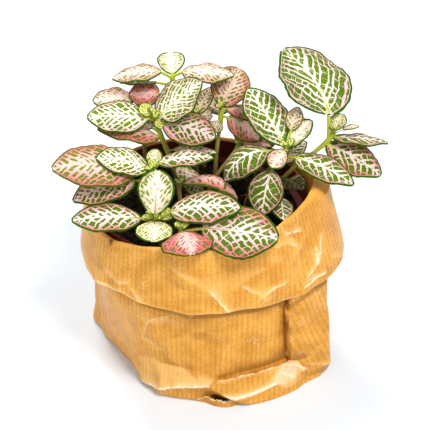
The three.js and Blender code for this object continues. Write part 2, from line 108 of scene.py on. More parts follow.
SHOOTS = (
    Shoot("left_back", (-12, 16), (-23.5, 21.5, 130.5), (
        Leaf("back", 1, 2, 20, 24, 38, 5, -12, 6, 4, 0.05, 0.44, 30, 30, Tone.PALE),
        Leaf("left", 0.98, 4, 12, 184, 14, 20, 0, -18, 4, 0.15, 0.48, 33, 23, Tone.PALE),
        Leaf("bud", 1, 3, 30, 160, 42, 20, 0, -20, 14, 0, 0.5, 8, 9, Tone.BUD),
        Leaf("low bud", 1, 0.5, -20, -50, -30, 20, 0, 0, 14, 0, 0.5, 6, 7, Tone.BUD),
        Leaf("right", 0.92, 3, 8, -14, 8, 34, 0, 15, 4, 0.15, 0.5, 30, 24, Tone.MIXED),
        Leaf("low left", 0.73, 1, 0, 182, 34, 48, 0, 6, 0, 0.25, 0.46, 35, 23, Tone.FADED),
        Leaf("low front", 0.4, 4, 0, -42, -10, 60, 0, 0, 0, 0.2, 0.46, 25, 14, Tone.OLIVE),
        Leaf("low right", 0.55, 3, 10, -5, 8, 20, 0, 10, 0, 0.2, 0.46, 25, 9, Tone.MIXED),
        Leaf("low back", 0.8, 5, 10, 138, 5, 30, 0, 0, 4, 0.1, 0.5, 20, 16, Tone.MIXED),
    )),
    Shoot("middle_back", (-10, 39), (-15, 45, 143), (
        Leaf("back", 1, 1, 40, 95, 25, 10, 0, 0, 8, 0, 0.62, 16, 15.5, Tone.YOUNG),
        Leaf("left", 0.98, 7, 35, 180, 10, 40, 0, 0, 2, 0.15, 0.46, 28, 19, Tone.PEACH),
        Leaf("right", 1, 6, 30, -6, 16, 35, 0, 5, 0, 0.2, 0.46, 29, 19, Tone.PEACH),
        Leaf("low left", 0.78, 8, 8, 180, 5, 15, 0, -25, 4, 0.1, 0.46, 17, 17, Tone.ROSE),
        Leaf("thin left", 0.9, 9, 10, 178, 0, 5, 0, 20, 2, 0.1, 0.46, 20, 12, Tone.MIXED),
    )),
    Shoot("far_left", (-30, 37), (-34, 44.5, 129), (
        Leaf("left", 1, 2, 20, 190, 14, 25, 0, -15, 4, 0.15, 0.48, 23, 18, Tone.PEACH),
        Leaf("back", 0.6, 3, 20, 100, 10, 25, 0, 0, 4, 0.1, 0.5, 22, 16, Tone.MIXED),
    )),
    Shoot("middle", (8, 30), (11.5, 36, 128), (
        Leaf("back right", 1, 1, 60, 61, 49, 25, 0, 18, 12, 0.1, 0.55, 24.5, 22, Tone.STREAKED),
        Leaf("right", 1, 2, 5, 5, 0, 40, 0, 12, 0, 0.3, 0.5, 20, 11, Tone.FADED),
        Leaf("front right", 0.9, 4, 0, -28, -5, 40, 0, 20, 0, 0.3, 0.5, 22, 15, Tone.FADED),
        Leaf("front left", 0.84, 2, 0, 240, -8, 40, 0, -10, 0, 0.1, 0.5, 8, 9, Tone.OLIVE),
        Leaf("low back", 0.8, 5, 20, 95, 10, 35, 0, 0, 4, 0.1, 0.5, 22, 16, Tone.MIXED),
    )),
    Shoot("middle_left", (-2, 28), (-2, 36.5, 123.5), (
        Leaf("back right", 1, 1, 40, 62, 40, 20, 0, 0, 4, 0.1, 0.5, 18, 10, Tone.OLIVE),
        Leaf("left", 1, 1, 40, 175, 50, 20, 0, -10, 4, 0.1, 0.5, 12, 10, Tone.OLIVE),
        Leaf("right", 1, 1, 20, 14, 5, 20, 0, 20, 4, 0.1, 0.55, 8, 9, Tone.OLIVE),
    )),
    Shoot("middle_right", (4, 14), (21, 26, 112), (
        Leaf("right", 1, 1, 10, -5, 8, 20, 0, 0, 4, 0.1, 0.5, 17, 9, Tone.FADED),
    )),
    Shoot("back", (2, 46), (-1, 48, 104), (
        Leaf("back", 1, 2, 30, 80, 15, 40, 0, 0, 4, 0.1, 0.5, 18, 13, Tone.MIXED),
        Leaf("left", 0.95, 2, 10, 190, 5, 30, 0, -10, 4, 0.1, 0.5, 11, 9, Tone.MIXED),
    )),
    Shoot("back_right", (30, 30), (34, 38, 114), (
        Leaf("back", 1, 2, 30, 105, 15, 40, 0, 0, 4, 0.1, 0.5, 22, 15, Tone.BOLD),
        Leaf("right", 0.97, 3, 20, 20, 15, 30, 0, 10, 4, 0.1, 0.5, 24, 16, Tone.BOLD),
        Leaf("low back", 0.5, 3, 20, 70, 15, 40, 0, 0, 4, 0.1, 0.5, 20, 14, Tone.BOLD),
    )),
    Shoot("right_front", (24, 2), (45.5, 6, 121), (
        Leaf("back", 1, 2, 40, 125, 40, 20, 0, 0, 6, 0.1, 0.5, 39, 25, Tone.BOLD_PALE),
        Leaf("young right", 1, 1, 40, 35, 42, 20, 10, 10, 14, 0, 0.52, 20, 12, Tone.YOUNG),
        Leaf("young left", 1, 1, 0, 232, -10, 25, 0, -20, 8, 0, 0.6, 13.5, 11, Tone.PEACH),
        Leaf("left", 0.97, 9, 5, 190, 15, 95, 15, -12, 0, 0.4, 0.45, 32, 20, Tone.DEEP),
        Leaf("front", 0.7, 4, 0, 254, -10, 60, 0, -8, 0, 0.3, 0.5, 27, 19, Tone.DEEP),
        Leaf("right", 0.86, 8, 15, -30, 6, 32, 0, 15, 4, 0.2, 0.46, 36, 17, Tone.BOLD),
        Leaf("low right", 0.5, 14, 20, 35, 40, 32, 0, 0, 4, 0.2, 0.46, 18, 12, Tone.BOLD),
        Leaf("far back", 1, 10, 50, 68, 50, 20, 0, 0, 4, 0.1, 0.5, 14, 9.5, Tone.OLIVE),
    )),
    Shoot("right", (40, 12), (70.5, 12, 127), (
        Leaf("back", 0.9, 14, 85, 102, 36, 15, 50, 8, 4, 0.05, 0.52, 47, 44, Tone.BOLD_PALE),
        Leaf("young back", 1, 2, 60, 60, 45, 20, 0, 0, 10, 0, 0.5, 10, 10, Tone.SPROUT),
        Leaf("young right", 1, 5, 25, 5, 20, 20, 0, 10, 10, 0, 0.5, 9, 4, Tone.OLIVE),
        Leaf("right", 0.93, 1, 10, -3, 5, 20, 0, -10, 0, 0.1, 0.46, 30, 16, Tone.BOLD),
        Leaf("front right", 0.83, 1, 0, -28, -5, 26, 0, 12, 4, 0.2, 0.5, 34, 22, Tone.BLUSH),
        Leaf("low right", 0.15, 2, 10, -42, 27, 10, 0, -18, 38, 0, 0.5, 18, 17, Tone.DEEP),
        Leaf("low front", 0.2, 14, 0, 272, 7, 20, 0, 0, 4, 0.1, 0.5, 20, 11.5, Tone.DEEP),
    )),
    Shoot("left", (-20, -8), (-24.5, -12, 119), (
        Leaf("young back", 1, 1, 50, 75, 50, 10, 0, 0, 12, 0, 0.55, 11, 9, Tone.SPROUT),
        Leaf("left", 1, 2, 45, 186, 32, 32, 0, -12, 4, 0.1, 0.48, 29, 21, Tone.PALE),
        Leaf("right", 1, 5, 52, 6, 22, 38, 0, 10, 4, 0.2, 0.48, 30, 13, Tone.MIXED),
        Leaf("far left", 0.93, 8, 20, 192, 28, 38, 0, -15, 2, 0.15, 0.5, 46, 30, Tone.STREAKED),
        Leaf("low left", 0.8, 10, 10, 200, 8, 34, 0, -10, 2, 0.15, 0.5, 35, 21, Tone.MIXED),
    )),
    Shoot("front_left", (-20, -32), (-22.5, -38, 106), (
        Leaf("back", 1, 2, 70, 82, 70, 15, 0, 0, 6, 0, 0.6, 24, 19, Tone.YOUNG),
        Leaf("front", 1, 1, 0, 270, 8, 40, 0, 0, 4, 0.1, 0.55, 15, 19, Tone.SPROUT),
        Leaf("left", 0.98, 7, 15, 190, 17, 25, 0, -12, 2, 0.1, 0.5, 36, 20, Tone.MIXED),
        Leaf("right", 0.95, 10, 40, -10, 28, 36, 0, 20, 2, 0.2, 0.5, 38, 21, Tone.MIXED),
        Leaf("bud right", 1, 2, 20, 20, 20, 20, 0, 30, 10, 0, 0.5, 9, 8, Tone.BUD),
        Leaf("bud left", 1, 1, 20, 170, 20, 20, 0, 0, 10, 0, 0.5, 6, 5, Tone.BUD),
    )),
    Shoot("front", (-4, -36), (-9, -48, 106), (
        Leaf("front", 1, 2, 25, -75, 25, 50, 0, 0, 0, 0.25, 0.5, 22, 26, Tone.ROSE),
        Leaf("right", 0.95, 11, 22, -14, 9, 18, 0, 25, 2, 0.15, 0.5, 40, 30, Tone.BLUSH),
    )),
    Shoot("inner", (-10, -4), (-11, -0.5, 102), (
        Leaf("right", 1, 2, 40, 0, 38, 118, 0, 10, 0, 0.4, 0.5, 38.5, 10, Tone.FADED),
    )),
)


def paint(code: str) -> tuple[float, float, float, float]:
    """Scene colour of a paint-chart code of six hex digits.

    Args:
        code: Red, green and blue, two digits each.

    Returns:
        The linear colour with full alpha.
    """
    parts = [int(code[start:start + 2], 16) / 255 for start in (0, 2, 4)]
    linear = [part / 12.92 if part <= 0.04045 else ((part + 0.055) / 1.055) ** 2.4 for part in parts]
    return (*linear, 1.0)


def smooth(values: Array, low: float, high: float) -> Array:
    """Smooth step of values from 0 at low to 1 at high."""
    part = np.clip((values - low) / (high - low), 0.0, 1.0)
    return part * part * (3.0 - 2.0 * part)


def swell(points: Array, pitch: float, seed: int) -> Array:
    """Soft uneven heights in space, from a few crossed waves.

    Args:
        points: Places, with x, y and z in the last axis.
        pitch: Size of the swells, in the unit of the points.
        seed: Seed of the waves' directions.

    Returns:
        A height for each point, mostly from -1 to 1.
    """
    waves, peak = 7, 3.2
    draw = np.random.default_rng(seed)
    total = np.zeros(points.shape[:-1])
    for _ in range(waves):
        way = draw.normal(size=3)
        way *= draw.uniform(0.7, 1.5) * 2.0 * math.pi / pitch / np.linalg.norm(way)
        total += np.sin(points @ way + draw.uniform(0.0, 2.0 * math.pi))
    return total / peak


def bezier(part: Any, *points: Array) -> Array:
    """Points on a Bezier curve.

    Args:
        part: Shares of the way along it, 0 at its start.
        points: Its control points.

    Returns:
        The curve's points.
    """
    order = len(points) - 1
    return sum(
        math.comb(order, index) * (1.0 - part) ** (order - index) * part ** index * point
        for index, point in enumerate(points)
    )


class Value:
    """A number in a node tree, which takes the plain signs of arithmetic."""

    def __init__(self, board: "Board", socket: Socket) -> None:
        """Keeps the board to work on and the socket that gives the number."""
        self.board = board
        self.socket = socket

    def __add__(self, other: Any) -> "Value":
        """Sum."""
        return self.board.math("ADD", self, other)

    def __sub__(self, other: Any) -> "Value":
        """Difference."""
        return self.board.math("SUBTRACT", self, other)

    def __rsub__(self, other: Any) -> "Value":
        """Difference from a plain number."""
        return self.board.math("SUBTRACT", other, self)

    def __mul__(self, other: Any) -> "Value":
        """Product."""
        return self.board.math("MULTIPLY", self, other)

    def __truediv__(self, other: Any) -> "Value":
        """Quotient."""
        return self.board.math("DIVIDE", self, other)

    def __abs__(self) -> "Value":
        """Size without its sign."""
        return self.board.math("ABSOLUTE", self)

    def line(self, start: Any, slope: float) -> "Value":
        """Start plus slope times the number."""
        return self.board.math("MULTIPLY_ADD", self, slope, start)

    def step(self, low: Any, high: float, start: float = 0.0, end: float = 1.0) -> "Value":
        """Maps the number smoothly from one range to another.

        Args:
            low: Where the range starts.
            high: Where the range ends.
            start: Result at low.
            end: Result at high.

        Returns:
            The mapped number.
        """
        made = self.board.node("MapRange", {"interpolation_type": "SMOOTHSTEP"})
        given = {"Value": self, "From Min": low, "From Max": high, "To Min": start, "To Max": end}
        for name, value in given.items():
            self.board.feed(made.inputs[name], value)
        return Value(self.board, made.outputs[0])

    __radd__ = __add__
    __rmul__ = __mul__


class Board:
    """A node tree that is filled by short calls."""

    def __init__(self, tree: bpy.types.NodeTree) -> None:
        """Keeps the tree to fill."""
        self.tree = tree

    def feed(self, socket: Socket, value: Any) -> None:
        """Links a socket to an input, or sets the input's own value.

        Args:
            socket: The input.
            value: A number of the tree, a socket or a plain value.
        """
        given = value.socket if isinstance(value, Value) else value
        if isinstance(given, bpy.types.NodeSocket):
            self.tree.links.new(given, socket)
        else:
            socket.default_value = given

    def feed_all(self, node: bpy.types.Node, inputs: dict[str, Any]) -> None:
        """Feeds a node's inputs by name, with underscores for blanks."""
        for name, value in inputs.items():
            self.feed(node.inputs[name.replace("_", " ")], value)

    def node(self, kind: str, settings: dict[str, Any] | None = None, **inputs: Any) -> bpy.types.Node:
        """Adds a node.

        Args:
            kind: Its type, without the word ShaderNode.
            settings: Its own properties by name.
            inputs: What its inputs get, by name.

        Returns:
            The new node.
        """
        made = self.tree.nodes.new("ShaderNode" + kind)
        for name, value in (settings or {}).items():
            setattr(made, name, value)
        self.feed_all(made, inputs)
        return made

    def number(self, kind: str, output: str, settings: dict[str, Any] | None = None, **inputs: Any) -> Value:
        """Adds a node, and gives one of its outputs as a number."""
        return Value(self, self.node(kind, settings, **inputs).outputs[output])

    def math(self, operation: str, *values: Any) -> Value:
        """Adds a Math node.

        Args:
            operation: Its operation.
            values: Its inputs in order.

        Returns:
            Its result.
        """
        made = self.node("Math", {"operation": operation})
        for socket, value in zip(made.inputs, values):
            self.feed(socket, value)
        return Value(self, made.outputs[0])

    def vector(self, operation: str, first: Any, second: Any) -> Socket:
        """Adds a Vector Math node.

        Args:
            operation: Its operation.
            first: A vector.
            second: A vector, or a number for the operation SCALE.

        Returns:
            Its vector.
        """
        made = self.node("VectorMath", {"operation": operation})
        self.feed(made.inputs[0], first)
        self.feed(made.inputs["Scale" if operation == "SCALE" else 1], second)
        return made.outputs[0]

    def mix(self, share: Any, first: Any, second: Any) -> Socket:
        """Mixes two colours.

        Args:
            share: How much of the second.
            first: A colour's socket or its code.
            second: A colour's socket or its code.

        Returns:
            The mixed colour.
        """
        made = self.node("Mix", {"data_type": "RGBA"})
        self.feed(made.inputs[0], share)
        for socket, colour in ((made.inputs[6], first), (made.inputs[7], second)):
            self.feed(socket, paint(colour) if isinstance(colour, str) else colour)
        return made.outputs[2]

    def grain(self, place: Any, scale: float, detail: float = 2.0) -> Value:
        """Noise from 0 to 1, read at a place."""
        return self.number("TexNoise", "Fac", Vector=place, Scale=scale, Detail=detail)

    def shift(self, place: Any, scale: float, size: Any) -> Socket:
        """A vector of noise, even to all sides and of a given size, for moving a pattern about."""
        colour = self.node("TexNoise", Vector=place, Scale=scale, Detail=2.0).outputs["Color"]
        return self.vector("SCALE", self.vector("SUBTRACT", colour, (0.5, 0.5, 0.5)), size)

    def split(self, vector: Socket) -> tuple[Value, Value, Value]:
        """The three parts of a vector."""
        parts = self.node("SeparateXYZ", Vector=vector).outputs
        return Value(self, parts[0]), Value(self, parts[1]), Value(self, parts[2])

    def join(self, x: Any, y: Any, z: Any) -> Socket:
        """A vector of three parts."""
        return self.node("CombineXYZ", X=x, Y=y, Z=z).outputs[0]

    def attribute(self, name: str, output: str = "Vector") -> Socket:
        """An attribute of the mesh."""
        return self.node("Attribute", {"attribute_name": name}).outputs[output]

    def group(self, tree: bpy.types.NodeTree, **inputs: Any) -> dict[str, Value]:
        """Places a node group.

        Args:
            tree: The group.
            inputs: What its inputs get, by name.

        Returns:
            Its outputs by name.
        """
        made = self.tree.nodes.new("ShaderNodeGroup")
        made.node_tree = tree
        self.feed_all(made, inputs)
        return {output.name: Value(self, output) for output in made.outputs}


class GroupBoard(Board):
    """A node group with named inputs, and outputs that are all numbers."""

    def __init__(self, name: str, inputs: dict[str, str], outputs: tuple[str, ...]) -> None:
        """Makes the group and its sockets.

        Args:
            name: The group's name.
            inputs: Kind of each input by name: Float or Vector.
            outputs: Names of the outputs.
        """
        super().__init__(bpy.data.node_groups.new(name, "ShaderNodeTree"))
        for way, sockets in (("INPUT", inputs), ("OUTPUT", dict.fromkeys(outputs, "Float"))):
            for socket, kind in sockets.items():
                self.tree.interface.new_socket(socket, in_out=way, socket_type="NodeSocket" + kind)
        self.given = self.tree.nodes.new("NodeGroupInput").outputs
        self.result = self.tree.nodes.new("NodeGroupOutput")


class SurfaceBoard(Board):
    """A material of one Principled BSDF."""

    def __init__(self, name: str) -> None:
        """Makes the material.

        Args:
            name: Its name.
        """
        self.material = bpy.data.materials.new(name)
        self.material.use_nodes = True
        super().__init__(self.material.node_tree)

    def surface(self, **inputs: Any) -> None:
        """Feeds the shader's inputs by name, with underscores for blanks."""
        self.feed_all(self.tree.nodes["Principled BSDF"], inputs)

    def bump(self, height: Value, strength: float, depth: float) -> None:
        """Roughens the surface by heights, of which 1 stands for a depth in millimetres."""
        made = self.node("Bump", Strength=strength, Distance=depth * MM, Height=height)
        self.surface(Normal=made.outputs["Normal"])


class VeinNet(GroupBoard):
    """The net of veins on a blade, read from its place on the blade in millimetres.

    Laterals leave the rib in lanes, rungs join them, and a rim of green runs inside the margin. A pair holds
    a value at the rib, or on a blade of no cover, and how it changes towards the margin, or with the cover.
    """

    wobble: float = 1.05
    lean: Pair = (0.95, 0.012)
    lane_share: float = 0.7
    rung_pitch: Pair = (1.1, 2.8)
    cell_jitter: float = 0.55
    swath: Pair = (0.42, -0.34)
    lateral_half: Pair = (0.175, -0.115)
    mesh_half: Pair = (0.07, -0.03)
    rib_fade: Pair = (1.15, -0.85)
    rib_half: Pair = (0.16, 0.12)
    band_width: Pair = (0.18, 0.16)

    def __init__(self) -> None:
        """Makes the group, and reads the places that its parts share."""
        masks = ("Green", "Flush", "Puff", "Chance", "Edge", "Halo")
        super().__init__("vein_net", {"Place": "Vector", "Form": "Vector", "Cover": "Float"}, masks)
        along, across, self.margin = self.split(self.given["Place"])
        length, self.pitch, self.seed = self.split(self.given["Form"])
        self.cover = Value(self, self.given["Cover"])
        self.side = self.math("SIGN", across)
        self.spot = self.join(along, across, self.seed * 37.0)
        self.out = abs(across)
        self.near = self.out / (self.out + self.margin + 0.4)
        self.swath_half = self.cover * self.near.line(*self.swath)
        rib_half = self.cover.line(*self.rib_half) * (self.pitch * (along / length).line(*self.rib_fade))
        self.rib_room = self.out - rib_half
        self.lane = self.pitch * self.lane_share
        drift = self.shift(self.spot, 0.13, self.pitch)
        drift_x, drift_y, _ = self.split(self.vector("ADD", drift, self.shift(self.spot, 0.75, self.wobble)))
        reach = self.math("MAXIMUM", self.out + drift_y, 0.0)
        lean = reach * reach.line(*self.lean)
        place = along + drift_x
        self.lane_step = (place - lean) * 0.7 / self.lane + self.side.line(self.seed, 0.27)
        rung_pitch = self.lane * self.cover.line(*self.rung_pitch)
        self.rung_step = (place + lean) * 0.7 / rung_pitch + self.side.line(self.seed * 31.7, 7.3)
        self.cells = self.join(self.lane_step, self.rung_step, 0.0)

    def cell_edge(self, scale: float, jitter: float) -> Value:
        """Distance to the edge of the cells between the veins, in cells."""
        flat = {"voronoi_dimensions": "2D", "feature": "DISTANCE_TO_EDGE"}
        return self.number("TexVoronoi", "Distance", flat, Vector=self.cells, Scale=scale, Randomness=jitter)

    def ladder(self) -> Value:
        """Room between laterals and rungs, in lanes.

        Returns:
            How far a place lies off both, less than 0 on a vein.
        """
        line = {"noise_dimensions": "1D"}
        uneven = self.number("TexNoise", "Fac", line, W=self.lane_step, Scale=0.8, Detail=0.0)
        lanes = self.lane_step + uneven.line(0.225, 0.7)
        lateral = self.math("PINGPONG", lanes, 0.5) - (self.swath_half + self.near.line(*self.lateral_half))
        lane_key = self.side.line(self.math("FLOOR", lanes) + self.seed * 17.3, 31.7)
        chance = self.number("TexWhiteNoise", "Value", line, W=lane_key)
        row = {"voronoi_dimensions": "1D", "feature": "DISTANCE_TO_EDGE"}
        place = chance.line(self.rung_step, 50.0)
        rung = self.number("TexVoronoi", "Distance", row, W=place, Scale=1.0, Randomness=0.85)
        rung_half = self.swath_half + self.grain(self.spot, 0.22, 1.0).step(0.34, 0.62, -0.01, 0.07)
        return self.math("SMOOTH_MIN", lateral, rung - rung_half, 0.06)

    def mesh(self) -> Value:
        """Room inside the uneven mesh of a well-covered blade, in lanes."""
        return self.cell_edge(1.0, self.cell_jitter) - (self.swath_half + self.near.line(*self.mesh_half))

    def hairs(self) -> Value:
        """Hair-fine veins inside the green cells, towards the margin, from 0 to 0.35."""
        fine = self.cell_edge(2.4, 1.0).step(0.1, 0.03) * self.grain(self.spot, 0.3, 1.0).step(0.45, 0.62)
        return fine * self.near.step(0.45, 0.85, 0.0, 0.35)

    def group(self) -> bpy.types.NodeTree:
        """Puts the veins together and feeds the group's outputs.

        Returns:
            The node group.
        """
        share = self.cover.step(0.25, 1.0)
        room = (self.ladder() * (1.0 - share) + self.mesh() * share) * self.lane
        room = self.math("SMOOTH_MIN", room, self.rib_room, 0.25)
        uneven = self.grain(self.spot, 0.4, 1.0).line(-0.06, 0.9)
        inside = self.margin - (self.pitch * self.cover.line(*self.band_width) + uneven)
        room = self.math("SMOOTH_MIN", room, abs(inside) - 0.16, 0.15)
        green = room.step(-0.06, 0.1) * (1.0 - self.hairs())
        edge = inside.step(-0.1, -0.28)
        whole = {"voronoi_dimensions": "2D"}
        cell = self.node("TexVoronoi", whole, Vector=self.cells, Scale=1.0, Randomness=self.cell_jitter)
        masks = {
            "Green": self.math("MAXIMUM", green, edge),
            "Flush": self.near,
            "Puff": room.step(-0.35, 0.7),
            "Chance": self.split(cell.outputs["Color"])[0],
            "Edge": edge,
            "Halo": room.step(-0.32, 0.0),
        }
        self.feed_all(self.result, masks)
        return self.tree


@dataclass(frozen=True)
class BladeFinish:
    """Colours of a blade's face."""

    name: str
    white: str = "FDF3E8"
    pink: str = "E66C78"
    cream: str = "F2EA96"
    lime_halo: str = "C8CA4A"
    lime: str = "A2AC08"
    green: str = "406B00"
    deep: str = "1C4400"
    puffed: str = "86B010"
    rim: str = "2C5C00"
    dull: str = "D09A62"
    rust: str = "A8583A"
    underside: str = "A8A57C"
    fade: float = 0.0
    relief: float = 1.0

    def vein_colour(
        self, board: Board, net: dict[str, Value], pink: Value, depth: Value, blotch: Value,
    ) -> Socket:
        """Colour of the veins: white to pink, creamy on young leaves, lime where they meet the green.

        Args:
            board: The material's board.
            net: What the vein net puts out.
            pink: How pink the leaf is.
            depth: How deep its green is.
            blotch: Broad noise.

        Returns:
            The colour.
        """
        flush = pink * (net["Flush"] + blotch.line(-0.25, 0.5)).step(0.1, 1.1, 0.34, 1.1)
        vein = board.mix(flush, self.white, self.pink)
        vein = board.mix(depth.step(0.5, 0.05, 0.0, 0.85), vein, self.cream)
        halo = net["Halo"] * pink.line(depth, 0.3).step(0.95, 0.6, 0.0, 0.42)
        return board.mix(halo, vein, self.lime_halo)

    def green_colour(self, board: Board, net: dict[str, Value], depth: Value) -> Socket:
        """Colour of the cells between the veins, and of the margin.

        Args:
            board: The material's board.
            net: What the vein net puts out.
            depth: How deep the leaf's green is.

        Returns:
            The colour.
        """
        ripe = depth + net["Flush"].line(-0.2, 0.4)
        leafy = board.mix(ripe.step(0.1, 0.85), self.lime, self.green)
        leafy = board.mix(net["Chance"].line(ripe.step(0.55, 1.2, 0.0, 0.6), 0.3), leafy, self.deep)
        # Lighter, yellower middles of the puffed cells: partly the leaf's own colour, partly painted
        # highlight on the puffs.
        leafy = board.mix(net["Puff"] * 0.18, leafy, self.puffed)
        return board.mix(net["Edge"] * 0.7, leafy, self.rim)

    def material(self, veins: bpy.types.NodeTree) -> bpy.types.Material:
        """Makes the material.

        Args:
            veins: The vein net's group.

        Returns:
            The material.
        """
        board = SurfaceBoard(self.name)
        place = board.attribute("blade_place")
        cover, pink, dull = board.split(board.attribute("blade_look"))
        depth = Value(board, board.attribute("blade_depth", "Fac"))
        net = board.group(veins, Place=place, Form=board.attribute("blade_form"), Cover=cover)
        blotch = board.grain(place, 0.35, 3.0)
        speck = board.grain(place, 1.6)
        vein = self.vein_colour(board, net, pink, depth, blotch)
        colour = board.mix(net["Green"], vein, self.green_colour(board, net, depth))
        worn = board.mix(speck.step(0.35, 0.75), self.dull, self.rust)
        colour = board.mix(dull * net["Green"].line(0.75, -0.35), colour, worn)
        colour = board.mix(self.fade, colour, self.underside)
        # The faint emission in the leaf's own colour is painted light that lifts its shaded parts.
        board.surface(
            Base_Color=colour, Roughness=speck.step(0.2, 0.8, 0.36, 0.52), Specular_IOR_Level=0.04,
            Emission_Color=colour, Emission_Strength=0.03,
            Subsurface_Weight=0.04, Subsurface_Radius=(0.002, 0.002, 0.0008),
        )
        board.bump(speck.line(net["Puff"] * (0.32 * self.relief), 0.08), 0.8, 1.0)
        return board.material


@dataclass(frozen=True)
class StemFinish:
    """Skin of stems and petioles: brown at the soil, lime above, with rosy streaks."""

    name: str = "stem_skin"
    low: str = "7A5A30"
    high: str = "B4C222"
    streak: str = "C98F6A"

    def material(self) -> bpy.types.Material:
        """Makes the material.

        Returns:
            The material.
        """
        board = SurfaceBoard(self.name)
        place = board.node("TexCoord").outputs["Object"]
        _, _, height = board.split(place)
        streak = board.grain(board.vector("MULTIPLY", place, (1.0, 1.0, 0.25)), 900.0, 3.0)
        tint = board.mix(height.step(0.088, 0.125), self.low, self.high)
        tint = board.mix(streak.step(0.45, 0.75, 0.0, 0.45), tint, self.streak)
        board.surface(Base_Color=tint, Roughness=0.55, Sheen_Weight=0.12)
        board.bump(streak, 0.6, 0.3)
        return board.material


def only(piece: bpy.types.Object) -> bpy.types.Object:
    """Selects one object and makes it active.

    Args:
        piece: The object.

    Returns:
        The same object.
    """
    bpy.ops.object.select_all(action="DESELECT")
    piece.select_set(True)
    bpy.context.view_layer.objects.active = piece
    return piece


def apply_modifier(piece: bpy.types.Object, kind: str, **settings: Any) -> None:
    """Adds a modifier and applies it.

    Args:
        piece: The object.
        kind: The modifier's type.
        settings: Its properties.
    """
    modifier = only(piece).modifiers.new(kind.lower(), kind)
    for name, value in settings.items():
        setattr(modifier, name, value)
    bpy.ops.object.modifier_apply(modifier=modifier.name)


def edit(piece: bpy.types.Object, *steps: Callable[[], Any]) -> None:
    """Runs edit-mode operators, the first of them on the whole of a mesh.

    Args:
        piece: The object.
        steps: Calls of the operators.
    """
    only(piece)
    bpy.ops.object.mode_set(mode="EDIT")
    bpy.ops.mesh.select_all(action="SELECT")
    for step in steps:
        step()
    bpy.ops.object.mode_set(mode="OBJECT")


def face_outwards() -> None:
    """Turns the selected faces to point outwards."""
    bpy.ops.mesh.normals_make_consistent(inside=False)


def soften(piece: bpy.types.Object, degrees: float) -> None:
    """Shades a piece smooth, apart from edges sharper than an angle in degrees."""
    only(piece)
    bpy.ops.object.shade_smooth_by_angle(angle=math.radians(degrees))


def copy_of(pattern: bpy.types.Object, name: str) -> bpy.types.Object:
    """Copies an object with its own mesh.

    Args:
        pattern: What is copied.
        name: The copy's name.

    Returns:
        The copy.
    """
    piece = bpy.data.objects.new(name, pattern.data.copy())
    bpy.context.collection.objects.link(piece)
    return piece


def flat_grid(name: str, columns: int, rows: int) -> tuple[bpy.types.Object, Array, Array]:
    """A flat grid to be shaped.

    Args:
        name: Its name.
        columns: Faces along it.
        rows: Faces across it.

    Returns:
        The object, and each vertex's place along and across, from 0 to 1.
    """
    bpy.ops.mesh.primitive_grid_add(x_subdivisions=columns, y_subdivisions=rows, size=1.0)
    piece = bpy.context.object
    piece.name = name
    flat = corners(piece)
    return piece, flat[:, 0] + 0.5, flat[:, 1] + 0.5


def corners(piece: bpy.types.Object) -> Array:
    """Vertex places of a mesh.

    Args:
        piece: The object.

    Returns:
        The places in metres, one row each.
    """
    flat = np.empty(len(piece.data.vertices) * 3)
    piece.data.vertices.foreach_get("co", flat)
    return flat.reshape(-1, 3)


def place_corners(piece: bpy.types.Object, points: Array) -> None:
    """Moves the vertices of a mesh to new places, in millimetres."""
    piece.data.vertices.foreach_set("co", (points * MM).ravel())
    piece.data.update()


def note(piece: bpy.types.Object, name: str, values: Array) -> None:
    """Writes a number or a vector for each vertex as an attribute."""
    kind, key = ("FLOAT", "value") if values.ndim == 1 else ("FLOAT_VECTOR", "vector")
    piece.data.attributes.new(name, kind, "POINT").data.foreach_set(key, values.ravel())


def coat(piece: bpy.types.Object, finishes: list[bpy.types.Material]) -> None:
    """Gives a piece its finishes, in place of what it has.

    Args:
        piece: The object.
        finishes: Its materials in order.
    """
    piece.data.materials.clear()
    for finish in finishes:
        piece.data.materials.append(finish)


def joined(name: str, pieces: list[bpy.types.Object]) -> bpy.types.Object:
    """Joins several meshes into the first.

    Args:
        name: The joined piece's name.
        pieces: The objects.

    Returns:
        The joined object.
    """
    only(pieces[0])
    for piece in pieces:
        piece.select_set(True)
    bpy.ops.object.join()
    pieces[0].name = name
    return pieces[0]


def hand_over(piece: bpy.types.Object, slot: str, node: str) -> None:
    """Gives a finished piece its body, hides the solid that it stands for, and reports it with its slot.

    Args:
        piece: The finished object.
        slot: Name of its material slot, which is only reported.
        node: The solid that it replaces.
    """
    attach(piece, "root")
    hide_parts(node)
    log.info("%s: %d faces, slot %s", piece.name, len(piece.data.polygons), slot)


def heading(turn: Any, rise: Any) -> Array:
    """Unit vectors from compass turns, 0 along X and 90 along Y, and rises above the level."""
    turn, rise = np.broadcast_arrays(np.radians(turn), np.radians(rise))
    return np.stack([np.cos(rise) * np.cos(turn), np.cos(rise) * np.sin(turn), np.sin(rise)], axis=-1)


def upright(degrees: Array, radius: Any, height: Array) -> Array:
    """Points round the upright axis, with x, y and z in the last axis."""
    theta = np.radians(degrees)
    return np.stack([radius * np.cos(theta), radius * np.sin(theta), height], axis=-1)


